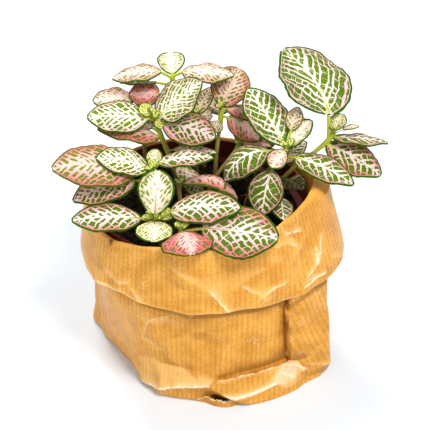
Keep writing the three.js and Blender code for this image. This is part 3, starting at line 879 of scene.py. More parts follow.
@dataclass
class Foliage:
    """All the shoots, each one piece of stem, petioles and blades, in millimetres."""

    soil_top: float = 85.0
    root_depth: float = 15.0
    stem_radius: float = 1.3
    stem_steps: int = 18
    node_swelling: float = 0.3
    node_sharpness: float = 14.0
    petiole_radius: float = 0.75
    petiole_steps: int = 9
    blade_thickness: float = 0.5
    blade_taper: float = 1.14
    blade_end: float = 0.012
    tip_cut: float = 0.35
    midrib_steps: int = 24
    groove_depth: float = 0.28
    groove_half: float = 0.7
    wave: float = 0.028
    waves: float = 2.2
    ruffle: float = 0.014
    ripple: float = 0.22
    ripple_pitch: float = 9.0
    vein_pitch: float = 0.53
    margin_steps: int = 90
    columns: int = 44
    rows: int = 20
    finishes: list[bpy.types.Material] = field(default_factory=list)

    def dress(self) -> None:
        """Makes the finishes: upper face, underside and stem."""
        veins = VeinNet().group()
        self.finishes = [
            BladeFinish("blade_face").material(veins),
            BladeFinish("blade_underside", fade=0.45, relief=0.5).material(veins),
            StemFinish().material(),
        ]

    def stem_points(self, shoot: Shoot, places: Any) -> Array:
        """Points of a shoot's stem.

        Args:
            shoot: The shoot.
            places: Shares of the stem above the soil, 1 at the apex.

        Returns:
            Points in millimetres.
        """
        foot, tip = np.array([*shoot.root, self.soil_top]), np.array(shoot.apex)
        rise = tip[2] - foot[2]
        low = foot + [0.0, 0.0, 0.45 * rise]
        high = np.array([*(tip - 0.21 * (tip - foot))[:2], tip[2] - 0.3 * rise])
        return bezier(np.atleast_1d(places)[:, None], foot, low, high, tip)

    def midrib(self, leaf: Leaf, base: Array) -> Array:
        """Points of a leaf's midrib.

        Args:
            leaf: The leaf.
            base: Where its blade starts.

        Returns:
            Points from the base to the tip, in millimetres.
        """
        part = (np.arange(self.midrib_steps) + 0.5) / self.midrib_steps
        ways = heading(leaf.turn + leaf.sweep * part, leaf.rise - leaf.droop * part)
        steps = np.cumsum(ways * leaf.length / self.midrib_steps, axis=0)
        return np.vstack([base, base + steps])

    def reach_at(self, leaf: Leaf, along: Array) -> Array:
        """Half width of a leaf along its length; slender leaves taper more to the tip.

        Args:
            leaf: The leaf.
            along: Shares of its length.

        Returns:
            Half widths in millimetres.
        """
        near = (along / leaf.wide) ** (self.blade_taper * leaf.wide)
        far = ((1.0 - along) / (1.0 - leaf.wide)) ** (self.blade_taper * (1.0 - leaf.wide))
        slender = np.clip(2.0 - 1.6 * leaf.width / leaf.length, 0.0, 1.0)
        tip = 1.0 - self.tip_cut * slender * np.clip((along - 0.6) / 0.4, 0.0, 1.0) ** 2
        return 0.5 * leaf.width * near * far * tip

    def blade_points(self, leaf: Leaf, midrib: Array, along: Array, side: Array) -> Array:
        """Points on a blade's surface.

        Args:
            leaf: The leaf.
            midrib: Its midrib.
            along: Shares of the length.
            side: From -1 at the right margin to 1 at the left.

        Returns:
            Points in millimetres.
        """
        place = along * self.midrib_steps
        step = np.minimum(place.astype(int), self.midrib_steps - 1)
        blend = (place - step)[:, None]
        point = midrib[step] * (1.0 - blend) + midrib[step + 1] * blend
        turn = leaf.turn + leaf.sweep * along
        left = heading(turn + 90.0, 0.0)
        up = heading(turn, leaf.rise - leaf.droop * along + 90.0)
        roll, fold = math.radians(leaf.roll), math.radians(leaf.fold)
        across = left * math.cos(roll) + up * math.sin(roll)
        normal = up * math.cos(roll) - left * math.sin(roll)
        half = self.reach_at(leaf, along)
        out = np.abs(side)
        phase = np.where(side > 0.0, 1.0, 2.7)
        wave = 2.0 * half * self.wave * np.sin(self.waves * 2.0 * math.pi * along + phase) * out ** 2
        lift = half * out * math.tan(fold) - leaf.arch * half * out ** 2 + wave
        groove = self.groove_depth * np.exp(-((side * half / self.groove_half) ** 2))
        groove *= min(1.0, leaf.width / 12.0)
        ruffled = 1.0 + self.ruffle * np.sin(along * 55.0 + 2.0 * phase) * out ** 6
        flat = half * side * math.cos(fold) * ruffled
        return point + across * flat[:, None] + normal * (lift - groove)[:, None]

    def note_blade(self, piece: bpy.types.Object, leaf: Leaf, along: Array, side: Array, seed: float) -> None:
        """Writes a blade's attributes for the vein net.

        Args:
            piece: The blade.
            leaf: Its leaf.
            along: Each vertex's share of the length.
            side: Its place from -1 to 1 across.
            seed: The leaf's own number for its veins.
        """
        cover, pink, dull, depth = leaf.tone.value
        flat_x, flat_y = along * leaf.length, side * self.reach_at(leaf, along)
        edge = np.linspace(0.0, 1.0, self.margin_steps)
        edge_x, edge_y = edge * leaf.length, self.reach_at(leaf, edge)
        gaps = np.hypot(flat_x[:, None] - edge_x, np.abs(flat_y)[:, None] - edge_y)
        pitch = self.vein_pitch * leaf.length ** 0.62 * (1.0 - 0.85 * min(cover, 0.36))
        note(piece, "blade_place", np.stack([flat_x, flat_y, gaps.min(axis=1)], axis=1))
        note(piece, "blade_form", np.tile([leaf.length, pitch, seed], (len(along), 1)))
        note(piece, "blade_look", np.tile([cover, pink, dull], (len(along), 1)))
        note(piece, "blade_depth", np.full(len(along), depth))

    def blade(
        self, leaf: Leaf, base: Array, pattern: bpy.types.Object, shares: list[Array], seed: float,
    ) -> bpy.types.Object:
        """One blade as an open sheet with its notes for the vein net.

        Args:
            leaf: The leaf.
            base: Where the blade starts, in millimetres.
            pattern: The grid that is copied.
            shares: Places along and across of the grid's vertices, from 0 to 1.
            seed: The leaf's own number for its veins.

        Returns:
            The new object.
        """
        ease = 0.5 - 0.5 * np.cos(math.pi * shares[0])
        along = self.blade_end + (1.0 - 2.0 * self.blade_end) * (0.6 * ease + 0.4 * shares[0])
        side = 2.0 * shares[1] - 1.0
        points = self.blade_points(leaf, self.midrib(leaf, base), along, side)
        ripple = self.ripple * np.abs(side) * swell(points, self.ripple_pitch, int(seed * 1000))
        piece = copy_of(pattern, leaf.side)
        place_corners(piece, points + ripple[:, None] * np.array([0.2, 0.2, 1.0]))
        self.note_blade(piece, leaf, along, side, seed)
        return piece

    def limbs(self, paths: list[tuple[Array, Array]]) -> bpy.types.Object:
        """Round limbs along paths, as one mesh.

        Args:
            paths: Points in millimetres and a radius for each.

        Returns:
            The new object.
        """
        bpy.ops.object.select_all(action="DESELECT")
        bpy.ops.curve.primitive_nurbs_path_add()
        curve = bpy.context.object.data
        curve.splines.clear()
        curve.bevel_depth = MM
        curve.bevel_resolution = 3
        curve.use_fill_caps = True
        for points, radii in paths:
            spline = curve.splines.new("POLY")
            spline.points.add(len(points) - 1)
            spline.points.foreach_set("co", np.c_[points * MM, np.ones(len(points))].ravel())
            spline.points.foreach_set("radius", radii)
        bpy.ops.object.convert(target="MESH")
        bpy.ops.object.shade_smooth()
        return bpy.context.object

    def petiole(self, node: Array, base: Array, midrib: Array, radius: float) -> tuple[Array, Array]:
        """Path of a petiole that runs on into the midrib.

        Args:
            node: Where it leaves the stem.
            base: Where the blade starts.
            midrib: The blade's midrib.
            radius: Its radius.

        Returns:
            Points and radii in millimetres.
        """
        points = bezier(np.linspace(0.0, 1.0, self.petiole_steps)[:, None], node, base, midrib[2])
        run = midrib[4:20:4] - [0.0, 0.0, 0.35]
        radii = np.r_[np.linspace(1.25, 0.8, self.petiole_steps), np.linspace(0.6, 0.2, len(run))] * radius
        return np.vstack([points, run]), radii

    def rosette(self, shoot: Shoot) -> tuple[Leaf, ...]:
        """Three tiny leaflets that open at a shoot's apex, on the shoots that grow to the front.

        Args:
            shoot: The shoot.

        Returns:
            The leaflets, or none on a shoot at the back.
        """
        if shoot.apex[1] > 40.0:
            return ()
        first = 40.0 * shoot.apex[0]
        return tuple(
            Leaf(
                "leaflet", 1.0, 0.6, 60, first + turn, rise, 35, 0,
                roll, 22, 0, 0.55, long, 0.86 * long, Tone.BUD,
            )
            for turn, rise, roll, long in ((0, 62, 12, 6.2), (125, 48, -15, 5.2), (235, 70, 8, 4.4))
        )

    def stem(self, shoot: Shoot) -> tuple[Array, Array]:
        """Path of a stem, from its root up, a little thicker where leaves grow.

        Args:
            shoot: The shoot.

        Returns:
            Points and radii in millimetres.
        """
        places = np.linspace(0.0, 1.0, self.stem_steps)
        root = [*shoot.root, self.soil_top - self.root_depth]
        offsets = [(places - leaf.place) * self.node_sharpness for leaf in shoot.leaves]
        grown = sum(np.exp(-(offset ** 2)) for offset in offsets)
        radii = self.stem_radius * (0.85 + self.node_swelling * np.minimum(grown, 1.0))
        return np.vstack([root, self.stem_points(shoot, places)]), np.r_[self.stem_radius, radii]

    def build(self) -> None:
        """Builds and hands over every shoot."""
        self.dress()
        pattern, *shares = flat_grid("blade_pattern", self.columns, self.rows)
        draw = np.random.default_rng(7)
        for shoot in SHOOTS:
            blades, paths = [], [self.stem(shoot)]
            for leaf in shoot.leaves + self.rosette(shoot):
                node = self.stem_points(shoot, leaf.place)[0]
                base = node + heading(leaf.turn, leaf.climb) * leaf.petiole
                blades.append(self.blade(leaf, base, pattern, shares, float(draw.uniform(0.0, 9.0))))
                share = min(1.0, leaf.width / 12.0) + 0.012 * max(0.0, leaf.width - 22.0)
                paths.append(self.petiole(node, base, self.midrib(leaf, base), self.petiole_radius * share))
            sheet = joined("blades", blades)
            coat(sheet, self.finishes)
            bpy.ops.object.shade_smooth()
            thickness = self.blade_thickness * MM
            apply_modifier(sheet, "SOLIDIFY", thickness=thickness, offset=0.0, material_offset=1)
            limbs = self.limbs(paths)
            coat(limbs, self.finishes)
            limbs.data.polygons.foreach_set("material_index", np.full(len(limbs.data.polygons), 2))
            hand_over(joined("foliage_" + shoot.name, [sheet, limbs]), "leaves", "shoot_" + shoot.name)
        bpy.data.objects.remove(pattern)


def ring(table: Ring, degrees: Array) -> Array:
    """Values of a closed ring of angle and value pairs, eased between neighbours.

    Args:
        table: The pairs, in rising angle.
        degrees: Angles to read it at.

    Returns:
        A value for each angle.
    """
    angles, values = np.array(table, float).T
    angles = np.r_[angles[-1] - 360.0, angles, angles[0] + 360.0]
    values = np.r_[values[-1], values, values[0]]
    turn = np.mod(degrees + 180.0, 360.0) - 180.0
    index = np.clip(np.searchsorted(angles, turn, side="right") - 1, 0, len(angles) - 2)
    part = (turn - angles[index]) / (angles[index + 1] - angles[index])
    return values[index] + (values[index + 1] - values[index]) * 0.5 * (part + smooth(part, 0.0, 1.0))


def facets(around: Array, up: Array, count: int, seed: int) -> Array:
    """Heights of a crumpled sheet of flat facets.

    Args:
        around: Place round the sheet, in cells, that closes after count cells.
        up: Place up the sheet, in cells.
        count: Cells round the sheet.
        seed: Seed of the heights.

    Returns:
        A height from -1 to 1 for each place.
    """
    draw = np.random.default_rng(seed)
    rows = int(up.max()) + 3
    heights = draw.uniform(-1.0, 1.0, (count, rows))
    turned = draw.random((count, rows)) < 0.5
    column, row = np.floor(around).astype(int), np.floor(up).astype(int)
    x, y = around - column, up - row
    near, far, row = column % count, (column + 1) % count, np.maximum(row, 0)
    a, b, c, d = heights[near, row], heights[far, row], heights[far, row + 1], heights[near, row + 1]
    rising = np.where(x >= y, a + x * (b - a) + y * (c - b), a + y * (d - a) + x * (c - d))
    low, high = a + x * (b - a) + y * (d - a), c + (1.0 - x) * (d - c) + (1.0 - y) * (b - c)
    return np.where(turned[near, row], np.where(x + y <= 1.0, low, high), rising)


def oval(degrees: Array, height: Array, middle: Pair, size: Pair) -> Array:
    """Soft-edged oval on the sheet: 1 well inside it and 0 outside."""
    return np.exp(-(np.hypot((degrees - middle[0]) / size[0], (height - middle[1]) / size[1]) ** 4))


@dataclass(frozen=True)
class Crease:
    """A fold line in the paper, through points of angle in degrees and height in millimetres. Its shine is a
    painted highlight along the line, and its shade is painted shade on its right side.
    """

    points: Ring
    rise: float = 0.5
    reach: float = 1.5
    shine: float = 0.6
    ledge: float = 0.0
    ledge_reach: float = 10.0
    shade: float = 0.0

    def gaps(self, around: Array, height: Array, girth: float) -> tuple[Array, Array]:
        """Distances of places on the sheet from the line.

        Args:
            around: Places round the sheet in millimetres.
            height: Their heights.
            girth: The sheet's mean radius, which turns angles into millimetres.

        Returns:
            The distance, and how far to the left of the line, which is negative on its right.
        """
        line = np.array([(math.radians(angle) * girth, z) for angle, z in self.points])
        gap, left = np.full_like(around, 1e3), np.full_like(around, 1e3)
        for start, end in zip(line[:-1], line[1:]):
            way = end - start
            length = math.hypot(*way)
            x, y = around - start[0], height - start[1]
            part = np.clip((x * way[0] + y * way[1]) / length ** 2, 0.0, 1.0)
            distance = np.hypot(x - part * way[0], y - part * way[1])
            left = np.where(distance < gap, (way[0] * y - way[1] * x) / length, left)
            gap = np.minimum(gap, distance)
        return gap, left


@dataclass
class FoldMarks:
    """What creases do to the sheet at each place.

    Push outwards, slide round it, signed distance to the nearest crease, shine on that crease, and shade.
    """

    push: Array
    slide: Array
    gap: Array
    shine: Array
    shade: Array


def paper_group() -> bpy.types.NodeTree:
    """Ribs and fibres of machine-ribbed kraft paper, read in millimetres across and along the ribs.

    Returns:
        The node group.
    """
    masks = ("Rib", "Fibre", "Blotch", "Wrinkle", "Fold")
    board = GroupBoard("ribbed_paper", {"Place": "Vector", "Pitch": "Float"}, masks)
    place = board.given["Place"]

    def stretched(x: float, y: float) -> Socket:
        """The place, scaled across and along the ribs."""
        return board.vector("MULTIPLY", place, (x, y, 1.0))

    across, _, _ = board.split(place)
    drift = board.grain(stretched(1.0, 0.3), 0.1)
    wave = (across + drift * 1.8) / board.given["Pitch"]
    rib = board.math("PINGPONG", wave, 0.5).step(0.2, 0.46)
    cells = board.vector("ADD", place, board.shift(place, 0.12, 9.0))
    edges = {"feature": "DISTANCE_TO_EDGE"}
    crack = board.number("TexVoronoi", "Distance", edges, Vector=cells, Scale=0.075, Randomness=1.0)
    board.feed_all(board.result, {
        "Rib": rib * board.grain(stretched(0.45, 0.06), 1.0).step(0.25, 0.65, 0.55, 1.0),
        "Fibre": board.grain(stretched(1.3, 0.7), 1.0, 3.0),
        "Blotch": board.grain(place, 0.09, 4.0),
        "Wrinkle": crack.step(0.028, 0.0) * board.grain(place, 0.11).step(0.55, 0.7),
        "Fold": board.number("TexVoronoi", "Distance", Vector=cells, Scale=0.085, Randomness=1.0),
    })
    return board.tree


@dataclass(frozen=True)
class PaperFinish:
    """Golden kraft paper with a slight glaze, with painted highlights along its creases and on facets that
    face the light, and painted shade on facets turned away and in recesses.
    """

    name: str = "kraft_paper"
    light: str = "FAB44E"
    mid: str = "E29A38"
    # The dark colour also paints shade; the crease colour paints highlights and glare, the glow colour paints
    # light on facets that face it, and the slit colour paints deep shade in the slit and in the opening under
    # the flap.
    dark: str = "955918"
    crease: str = "FFF0CE"
    glow: str = "FFCE82"
    slit: str = "2E1606"
    rib_pitch: float = 2.8

    def material(self) -> bpy.types.Material:
        """Makes the material.

        Returns:
            The material.
        """
        board = SurfaceBoard(self.name)
        place = board.attribute("paper_place")
        gap, shine, light = board.split(board.attribute("paper_fold"))
        paper = board.group(paper_group(), Place=place, Pitch=self.rib_pitch)
        # Painted highlights: pale lines along the creases and wrinkles, broken up by noise, and a glare where
        # facets face the light most.
        line = abs(gap + board.grain(place, 0.5, 3.0).line(-1.2, 2.4)).step(shine.line(0.3, 0.55), 0.05)
        patchy = shine.line(board.grain(place, 0.22, 3.0), 0.22).step(0.5, 0.72)
        worn = board.math("MAXIMUM", line * shine * patchy, paper["Wrinkle"] * 0.35)
        glare = light.step(0.45, 1.0, 0.0, 0.7) * paper["Fibre"].step(0.38, 0.62, 1.0, 0.3)
        tint = board.mix(paper["Blotch"].step(0.32, 0.68), self.mid, self.light)
        # Over the ribs and fibres, these mixes paint shade where the sheet turns from the light or sinks into
        # a recess, and paint light where it faces the light and along creases.
        for share, colour in (
            (paper["Rib"] * 0.27, self.dark),
            (paper["Fibre"].step(0.45, 0.72, 0.0, 0.4), self.dark),
            (light.step(-0.05, -0.6, 0.0, 0.62), self.dark),
            (light.step(-1.5, -2.6, 0.0, 0.9), self.slit),
            (light.step(0.04, 0.5, 0.0, 0.6), self.glow),
            (glare, self.crease),
            (worn, self.crease),
        ):
            tint = board.mix(share, tint, colour)
        board.surface(
            Base_Color=tint, Roughness=paper["Blotch"].step(0.3, 0.75, 0.3, 0.42), Specular_IOR_Level=0.14,
        )
        height = paper["Fold"].line(paper["Rib"].line(paper["Fibre"] * 0.1, -0.07), 0.12)
        board.bump(paper["Wrinkle"].line(height, 0.15), 1.0, 1.0)
        return board.material


@dataclass
class PaperBag:
    """Kraft paper bag: one sheet from the hem of the cuff over the rim and down to its folded base."""

    foot: Ring
    waist: Ring
    rim: Ring
    rim_height: Ring
    shoulder: Ring
    hem: Ring
    hem_height: Ring
    cuff_creases: tuple[Crease, ...]
    body_creases: tuple[Crease, ...]
    flap_creases: tuple[Crease, ...]
    flap_top: Ring
    flap_foot: Ring
    girth: float = 62.0
    sheet: float = 0.5
    flat_girth: float = 390.0
    flat_length: float = 170.0
    crease_height: float = 62.0
    pot_top: float = 97.0
    body_top: float = 92.0
    body_bow: float = 0.85
    cuff_bow: float = 1.15
    shoulder_part: float = 0.9
    rim_roll: float = 2.2
    rim_crown: float = 0.6
    foot_rise: float = 1.6
    facet_depth: float = 1.7
    facet_height: float = 24.0
    facets_round: int = 15
    wrinkle_depth: float = 0.95
    wrinkle_height: float = 9.0
    wrinkles_round: int = 41
    covered: Pair = (58.0, 82.0)
    hem_shadow: float = 1.1
    slit_middle: Pair = (-137.0, 95.4)
    slit_size: Pair = (0.9, 2.4)
    slit_shade: float = 3.2
    flap_stand: float = 1.1
    lit_middle: Pair = (-46.0, 13.0)
    lit_size: Pair = (7.0, 6.0)
    lip_start: float = -92.0
    lip_width: float = 22.0
    lip_height: float = 3.4
    lip_bulge: float = 2.6
    columns: int = 300
    cuff_rows: int = 40
    rim_rows: int = 8
    body_rows: int = 76
    base_rows: int = 6

    def body_radius(self, degrees: Array, height: Array) -> Array:
        """Radius of the body's outside.

        Args:
            degrees: Angles.
            height: Heights in millimetres.

        Returns:
            Radii in millimetres.
        """
        foot, waist, rim = ring(self.foot, degrees), ring(self.waist, degrees), ring(self.rim, degrees)
        low = foot + (waist - foot) * (np.clip(height, 0.0, None) / self.crease_height) ** self.body_bow
        high = waist + (rim - waist) * (height - self.crease_height) / (self.pot_top - self.crease_height)
        return np.where(height > self.crease_height, high, low)

    def cuff_row(self, degrees: Array, part: float) -> Array:
        """One row of the cuff.

        Args:
            degrees: The row's angles.
            part: Its share of the way from the hem to the shoulder.

        Returns:
            Radii over heights.
        """
        hem, hem_height = ring(self.hem, degrees), ring(self.hem_height, degrees)
        radius = hem + (ring(self.shoulder, degrees) - hem) * part ** self.cuff_bow - 0.5 * self.sheet
        climb = self.shoulder_part * (ring(self.rim_height, degrees) - hem_height)
        return np.array([radius, hem_height + part * climb])

    def rim_row(self, degrees: Array, part: float) -> Array:
        """One row of the rolled rim.

        Args:
            degrees: The row's angles.
            part: Its share of the way from the shoulder over to the wall inside.

        Returns:
            Radii over heights.
        """
        rim, top = ring(self.rim, degrees), ring(self.rim_height, degrees)
        lift = np.array([rim + self.rim_roll, top + self.rim_crown])
        reach = np.array([rim + 0.2, top + self.rim_crown])
        end = np.array([rim + 0.1, top - self.rim_roll])
        radius, height = bezier(part, self.cuff_row(degrees, 1.0), lift, reach, end)
        return np.array([radius, np.minimum(height, top - 0.05)])

    def body_row(self, degrees: Array, part: float) -> Array:
        """One row of the body.

        Args:
            degrees: The row's angles.
            part: Its share of the way from the rim down to the foot.

        Returns:
            Radii over heights.
        """
        rim, top = ring(self.rim, degrees) + 0.1, ring(self.rim_height, degrees) - self.rim_roll
        height = top * (1.0 - part) + self.foot_rise * part
        radius = self.body_radius(degrees, np.minimum(height, self.body_top)) - 0.5 * self.sheet
        share = np.clip((height - self.body_top) / (top - self.body_top), 0.0, 1.0)
        return np.array([radius * (1.0 - share) + rim * share, height])

    def base_row(self, degrees: Array, part: float) -> Array:
        """One row of the base.

        Args:
            degrees: The row's angles.
            part: Its share of the way from the foot to the middle.

        Returns:
            Radii over heights.
        """
        radius = (ring(self.foot, degrees) - 0.8) * (1.0 - part) ** 0.8
        drop = 1.0 - min(part * 8.0, 1.0)
        return np.array([radius, np.full_like(degrees, self.foot_rise * drop + 0.5 * self.sheet)])

    def row(self, degrees: Array, step: int) -> tuple[Array, Array, float, float]:
        """One row of the sheet.

        Args:
            degrees: The row's angles.
            step: Row number, from the cuff's hem.

        Returns:
            Radii, heights, share of the cuff and share of the body.
        """
        if step <= self.cuff_rows:
            return *self.cuff_row(degrees, step / self.cuff_rows), 1.0, 0.0
        step -= self.cuff_rows
        if step <= self.rim_rows:
            part = step / self.rim_rows
            return *self.rim_row(degrees, part), 1.0 - part, 0.0
        step -= self.rim_rows
        if step <= self.body_rows:
            return *self.body_row(degrees, (step / self.body_rows) ** 0.8), 0.0, 1.0
        return *self.base_row(degrees, (step - self.body_rows) / self.base_rows), 0.0, 0.0

    def fold_marks(self, creases: tuple[Crease, ...], degrees: Array, height: Array) -> FoldMarks:
        """Effect of crease lines on a part of the sheet.

        Args:
            creases: The lines.
            degrees: Angles.
            height: Heights in millimetres.

        Returns:
            The marks at each place.
        """
        around = np.radians(degrees) * self.girth
        marks = FoldMarks(*(np.zeros_like(around) for _ in range(5)))
        marks.gap += 99.0
        for crease in creases:
            gap, left = crease.gaps(around, height, self.girth)
            proud = np.clip(left / np.maximum(gap, 0.4), -1.0, 1.0)
            ledge = crease.ledge * np.maximum(proud, 0.0)
            marks.push += crease.rise * np.exp(-gap / crease.reach)
            marks.push += ledge * np.exp(-gap / crease.ledge_reach)
            marks.slide -= 0.9 * ledge * np.exp(-gap / 3.0)
            marks.shade += crease.shade * np.clip(0.3 - proud, 0.0, 1.0) * np.exp(-((gap / 4.5) ** 1.3))
            closer = gap < np.abs(marks.gap)
            marks.gap = np.where(closer, np.copysign(gap, left), marks.gap)
            marks.shine = np.where(closer, crease.shine * (1.0 - smooth(gap, 2.0, 4.5)), marks.shine)
        self.gloss(marks, 0.32)
        return marks

    def gloss(self, marks: FoldMarks, strength: float) -> None:
        """Paints a soft band of highlight along the creases."""
        marks.shade -= strength * marks.shine * np.exp(-((marks.gap / 1.9) ** 2))

    def crumple(self, points: Array, degrees: Array) -> tuple[Array, Array]:
        """Heights of the large and the small facets of the sheet.

        Args:
            points: Places of the smooth sheet in millimetres.
            degrees: Their angles.

        Returns:
            The large and the small facets, in millimetres.
        """
        drift, lift = swell(points, 55.0, 3) * 0.45, swell(points, 40.0, 4) * 0.45
        turn, height = (degrees + 270.0) / 360.0, points[..., 2]
        large = (turn * self.facets_round + drift, height / self.facet_height + 1.0 + lift)
        small = (turn * self.wrinkles_round + 1.4 * drift, height / self.wrinkle_height + 1.0 + 1.3 * lift)
        busy = smooth(swell(points, 46.0, 5), -0.3, 0.6)
        coarse = self.facet_depth * facets(*large, self.facets_round, 11)
        return coarse, self.wrinkle_depth * facets(*small, self.wrinkles_round, 12) * busy

    def body_marks(self, degrees: Array, height: Array) -> FoldMarks:
        """Marks of the body's creases and facets, and the cuff's shadow on it.

        Args:
            degrees: Angles.
            height: Heights in millimetres.

        Returns:
            The marks at each place.
        """
        radius = self.body_radius(degrees, np.minimum(height, self.body_top))
        coarse, fine = self.crumple(upright(degrees, radius, height), degrees)
        marks = self.fold_marks(self.body_creases, degrees, height)
        bare = 1.0 - smooth(height, *self.covered)
        marks.push = bare * (marks.push + (coarse + fine) * smooth(height, 0.0, 8.0))
        under_hem = np.abs(height - ring(self.hem_height, degrees) + 4.0)
        marks.shade += self.hem_shadow * np.exp(-under_hem / 1.3)
        return marks

    def cuff_marks(self, degrees: Array, height: Array) -> FoldMarks:
        """Marks of the cuff's creases and facets, a slight painted lift of the whole cuff, painted highlights
        along its rim and hem, and painted shade in the slit at its left.

        Args:
            degrees: Angles.
            height: Heights in millimetres.

        Returns:
            The marks at each place.
        """
        coarse, fine = self.crumple(upright(degrees, self.girth, height), degrees)
        marks = self.fold_marks(self.cuff_creases, degrees, height)
        crumpled = 1.0 + smooth(degrees, -62.0, -40.0) * (1.0 - smooth(degrees, 0.0, 30.0))
        loose = 0.3 + 0.7 * (1.0 - smooth(height, 78.0, 100.0))
        marks.push += (0.85 * coarse + crumpled * fine) * loose
        # Painted light: a slight lift of the whole cuff, and highlights along the rolled rim and the hem's
        # edge; then painted shade in the slit.
        marks.shade -= 0.06 + 0.3 * np.exp(-(ring(self.rim_height, degrees) - height) / 1.2)
        marks.shade -= 0.35 * np.exp(-(height - ring(self.hem_height, degrees)) / 0.7)
        marks.shade += self.slit_shade * oval(degrees, height, self.slit_middle, self.slit_size)
        return marks

    def flap_marks(self, degrees: Array, height: Array) -> FoldMarks:
        """Marks of the base flap's creases, a slight painted lift of the whole flap, painted light on the
        facet that faces the light, and a painted highlight band along its creases.

        Args:
            degrees: Angles.
            height: Heights in millimetres.

        Returns:
            The marks at each place.
        """
        marks = self.fold_marks(self.flap_creases, degrees, height)
        # Painted light: a slight lift of the whole flap and a lit facet.
        marks.shade -= 0.06 + 0.95 * oval(degrees, height, self.lit_middle, self.lit_size)
        self.gloss(marks, 0.2)
        return marks

    def facing(self, marks: Callable[[Array, Array], FoldMarks], degrees: Array, height: Array) -> Array:
        """How far the sheet's facets face up and to the right.

        Args:
            marks: Gives the marks of this part of the sheet.
            degrees: Angles.
            height: Heights in millimetres.

        Returns:
            A slope, positive where a facet catches the light.
        """
        step = 0.7
        turn = math.degrees(step / self.girth)
        up = marks(degrees, height - step).push - marks(degrees, height + step).push
        right = marks(degrees - turn, height).push - marks(degrees + turn, height).push
        return (up + 0.5 * right) / (2.0 * step)

    def note_paper(
        self, piece: bpy.types.Object, place: tuple[Any, Array, Any], marks: FoldMarks, facing: Array,
    ) -> None:
        """Writes the finish's attributes: place across and along the ribs, number of the layer, and marks,
        whose last part is the painted light and shade of facets and creases.
        """
        note(piece, "paper_place", np.stack(np.broadcast_arrays(*place), axis=1))
        note(piece, "paper_fold", np.stack([marks.gap, marks.shine, facing - marks.shade], axis=1))

    def arc(self, degrees: Array) -> Array:
        """Places round the sheet in millimetres, 0 at the front."""
        return np.radians(degrees + 90.0) * self.girth

    def flap(self) -> bpy.types.Object:
        """The folded flap that lies over the foot at the front right.

        Returns:
            The flap as an open sheet.
        """
        piece, across, up = flat_grid("base_flap", 96, 22)
        top, foot = np.array(self.flap_top, float), np.array(self.flap_foot, float)
        share = np.linspace(0.0, 1.0, len(top))
        ragged = 0.5 * np.sin(across * 43.0) * np.sin(across * 17.0 + 1.0)
        low, high = (
            [np.interp(across, share, line[:, axis]) for axis in (0, 1)] for line in (foot, top)
        )
        degrees = (1.0 - up) * low[0] + up * high[0]
        height = (1.0 - up) * low[1] + up * (high[1] + ragged)
        marks = self.flap_marks(degrees, height)
        ends = (0.5 + 0.5 * smooth(across, 0.0, 0.3)) * (1.0 - 0.8 * smooth(across, 0.6, 0.97))
        radius = self.body_radius(degrees, height) + self.flap_stand * (2.6 - 1.9 * up) * ends + marks.push
        place_corners(piece, upright(degrees, radius, np.maximum(height, 0.5 * self.sheet)))
        facing = self.facing(self.flap_marks, degrees, height)
        self.note_paper(piece, (self.arc(degrees), height, 40.0), marks, facing)
        edit(piece, face_outwards)
        return piece

    def torn_lip(self) -> bpy.types.Object:
        """The ragged end of an inner fold that shows under the flap's left corner.

        Returns:
            The lip as an open sheet.
        """
        piece, across, up = flat_grid("torn_lip", 40, 6)
        degrees = self.lip_start + self.lip_width * across
        ragged = 0.8 * np.sin(across * 47.0) * np.sin(across * 23.0 + 0.5)
        crown = self.lip_height * (1.0 - 0.5 * across) * smooth(across, 0.0, 0.25) + 1.2 + ragged
        height = 0.3 + up * crown
        bulge = self.lip_bulge * smooth(across, 0.0, 0.5) * (1.0 - 0.8 * smooth(across, 0.75, 1.0))
        radius = self.body_radius(degrees, height) + 0.4 + bulge * (1.0 - 0.35 * up)
        place_corners(piece, upright(degrees, radius, height))
        zero = np.zeros_like(across)
        # A painted highlight along the lip's ragged top edge, and painted shade over the lip.
        marks = FoldMarks(zero, zero, (1.0 - up) * crown, zero + 0.9, zero + 0.3)
        self.note_paper(piece, (self.arc(degrees), height, 60.0), marks, zero)
        edit(piece, face_outwards)
        return piece

    def wall(self) -> bpy.types.Object:
        """The sheet itself: cuff, rim, body and base.

        Returns:
            The sheet, open only at its hem.
        """
        rows = self.cuff_rows + self.rim_rows + self.body_rows + self.base_rows
        piece, across, down = flat_grid("kraft_paper_bag", self.columns, rows)
        turn = across - 0.5
        degrees = -90.0 + 360.0 * turn - 24.0 * np.sin(2.0 * math.pi * turn)
        steps = np.rint(down * rows)
        radius, height, cuff, body = (np.zeros_like(degrees) for _ in range(4))
        for step in range(rows + 1):
            here = steps == step
            radius[here], height[here], cuff[here], body[here] = self.row(degrees[here], step)
        on_cuff = cuff > 0.5
        marks, outside = self.body_marks(degrees, height), self.cuff_marks(degrees, height)
        push = np.where(cuff > 0.0, cuff * outside.push, body * marks.push)
        turned = degrees + np.degrees(body * marks.slide / self.girth)
        place_corners(piece, upright(turned, radius + push, np.maximum(height, 0.5 * self.sheet)))
        inside_facing = self.facing(self.body_marks, degrees, height)
        facing = np.where(on_cuff, self.facing(self.cuff_marks, degrees, height), inside_facing)
        marks.gap = np.where(on_cuff, outside.gap, marks.gap)
        marks.shine = np.where(on_cuff, outside.shine, marks.shine * body)
        marks.shade = np.where(on_cuff, outside.shade, marks.shade * body)
        run = np.where(on_cuff, 2.0 * ring(self.rim_height, degrees) - height, height)
        right_lean, left_lean = smooth(degrees, -45.0, -43.0), 1.0 - smooth(degrees, -158.0, -140.0)
        slant = body * (0.32 * right_lean - 0.4 * left_lean)
        self.note_paper(piece, (self.arc(degrees) + slant * (run - 60.0), run, 20.0 * cuff), marks, facing)
        edit(piece, lambda: bpy.ops.mesh.remove_doubles(threshold=0.01 * MM), face_outwards)
        return piece

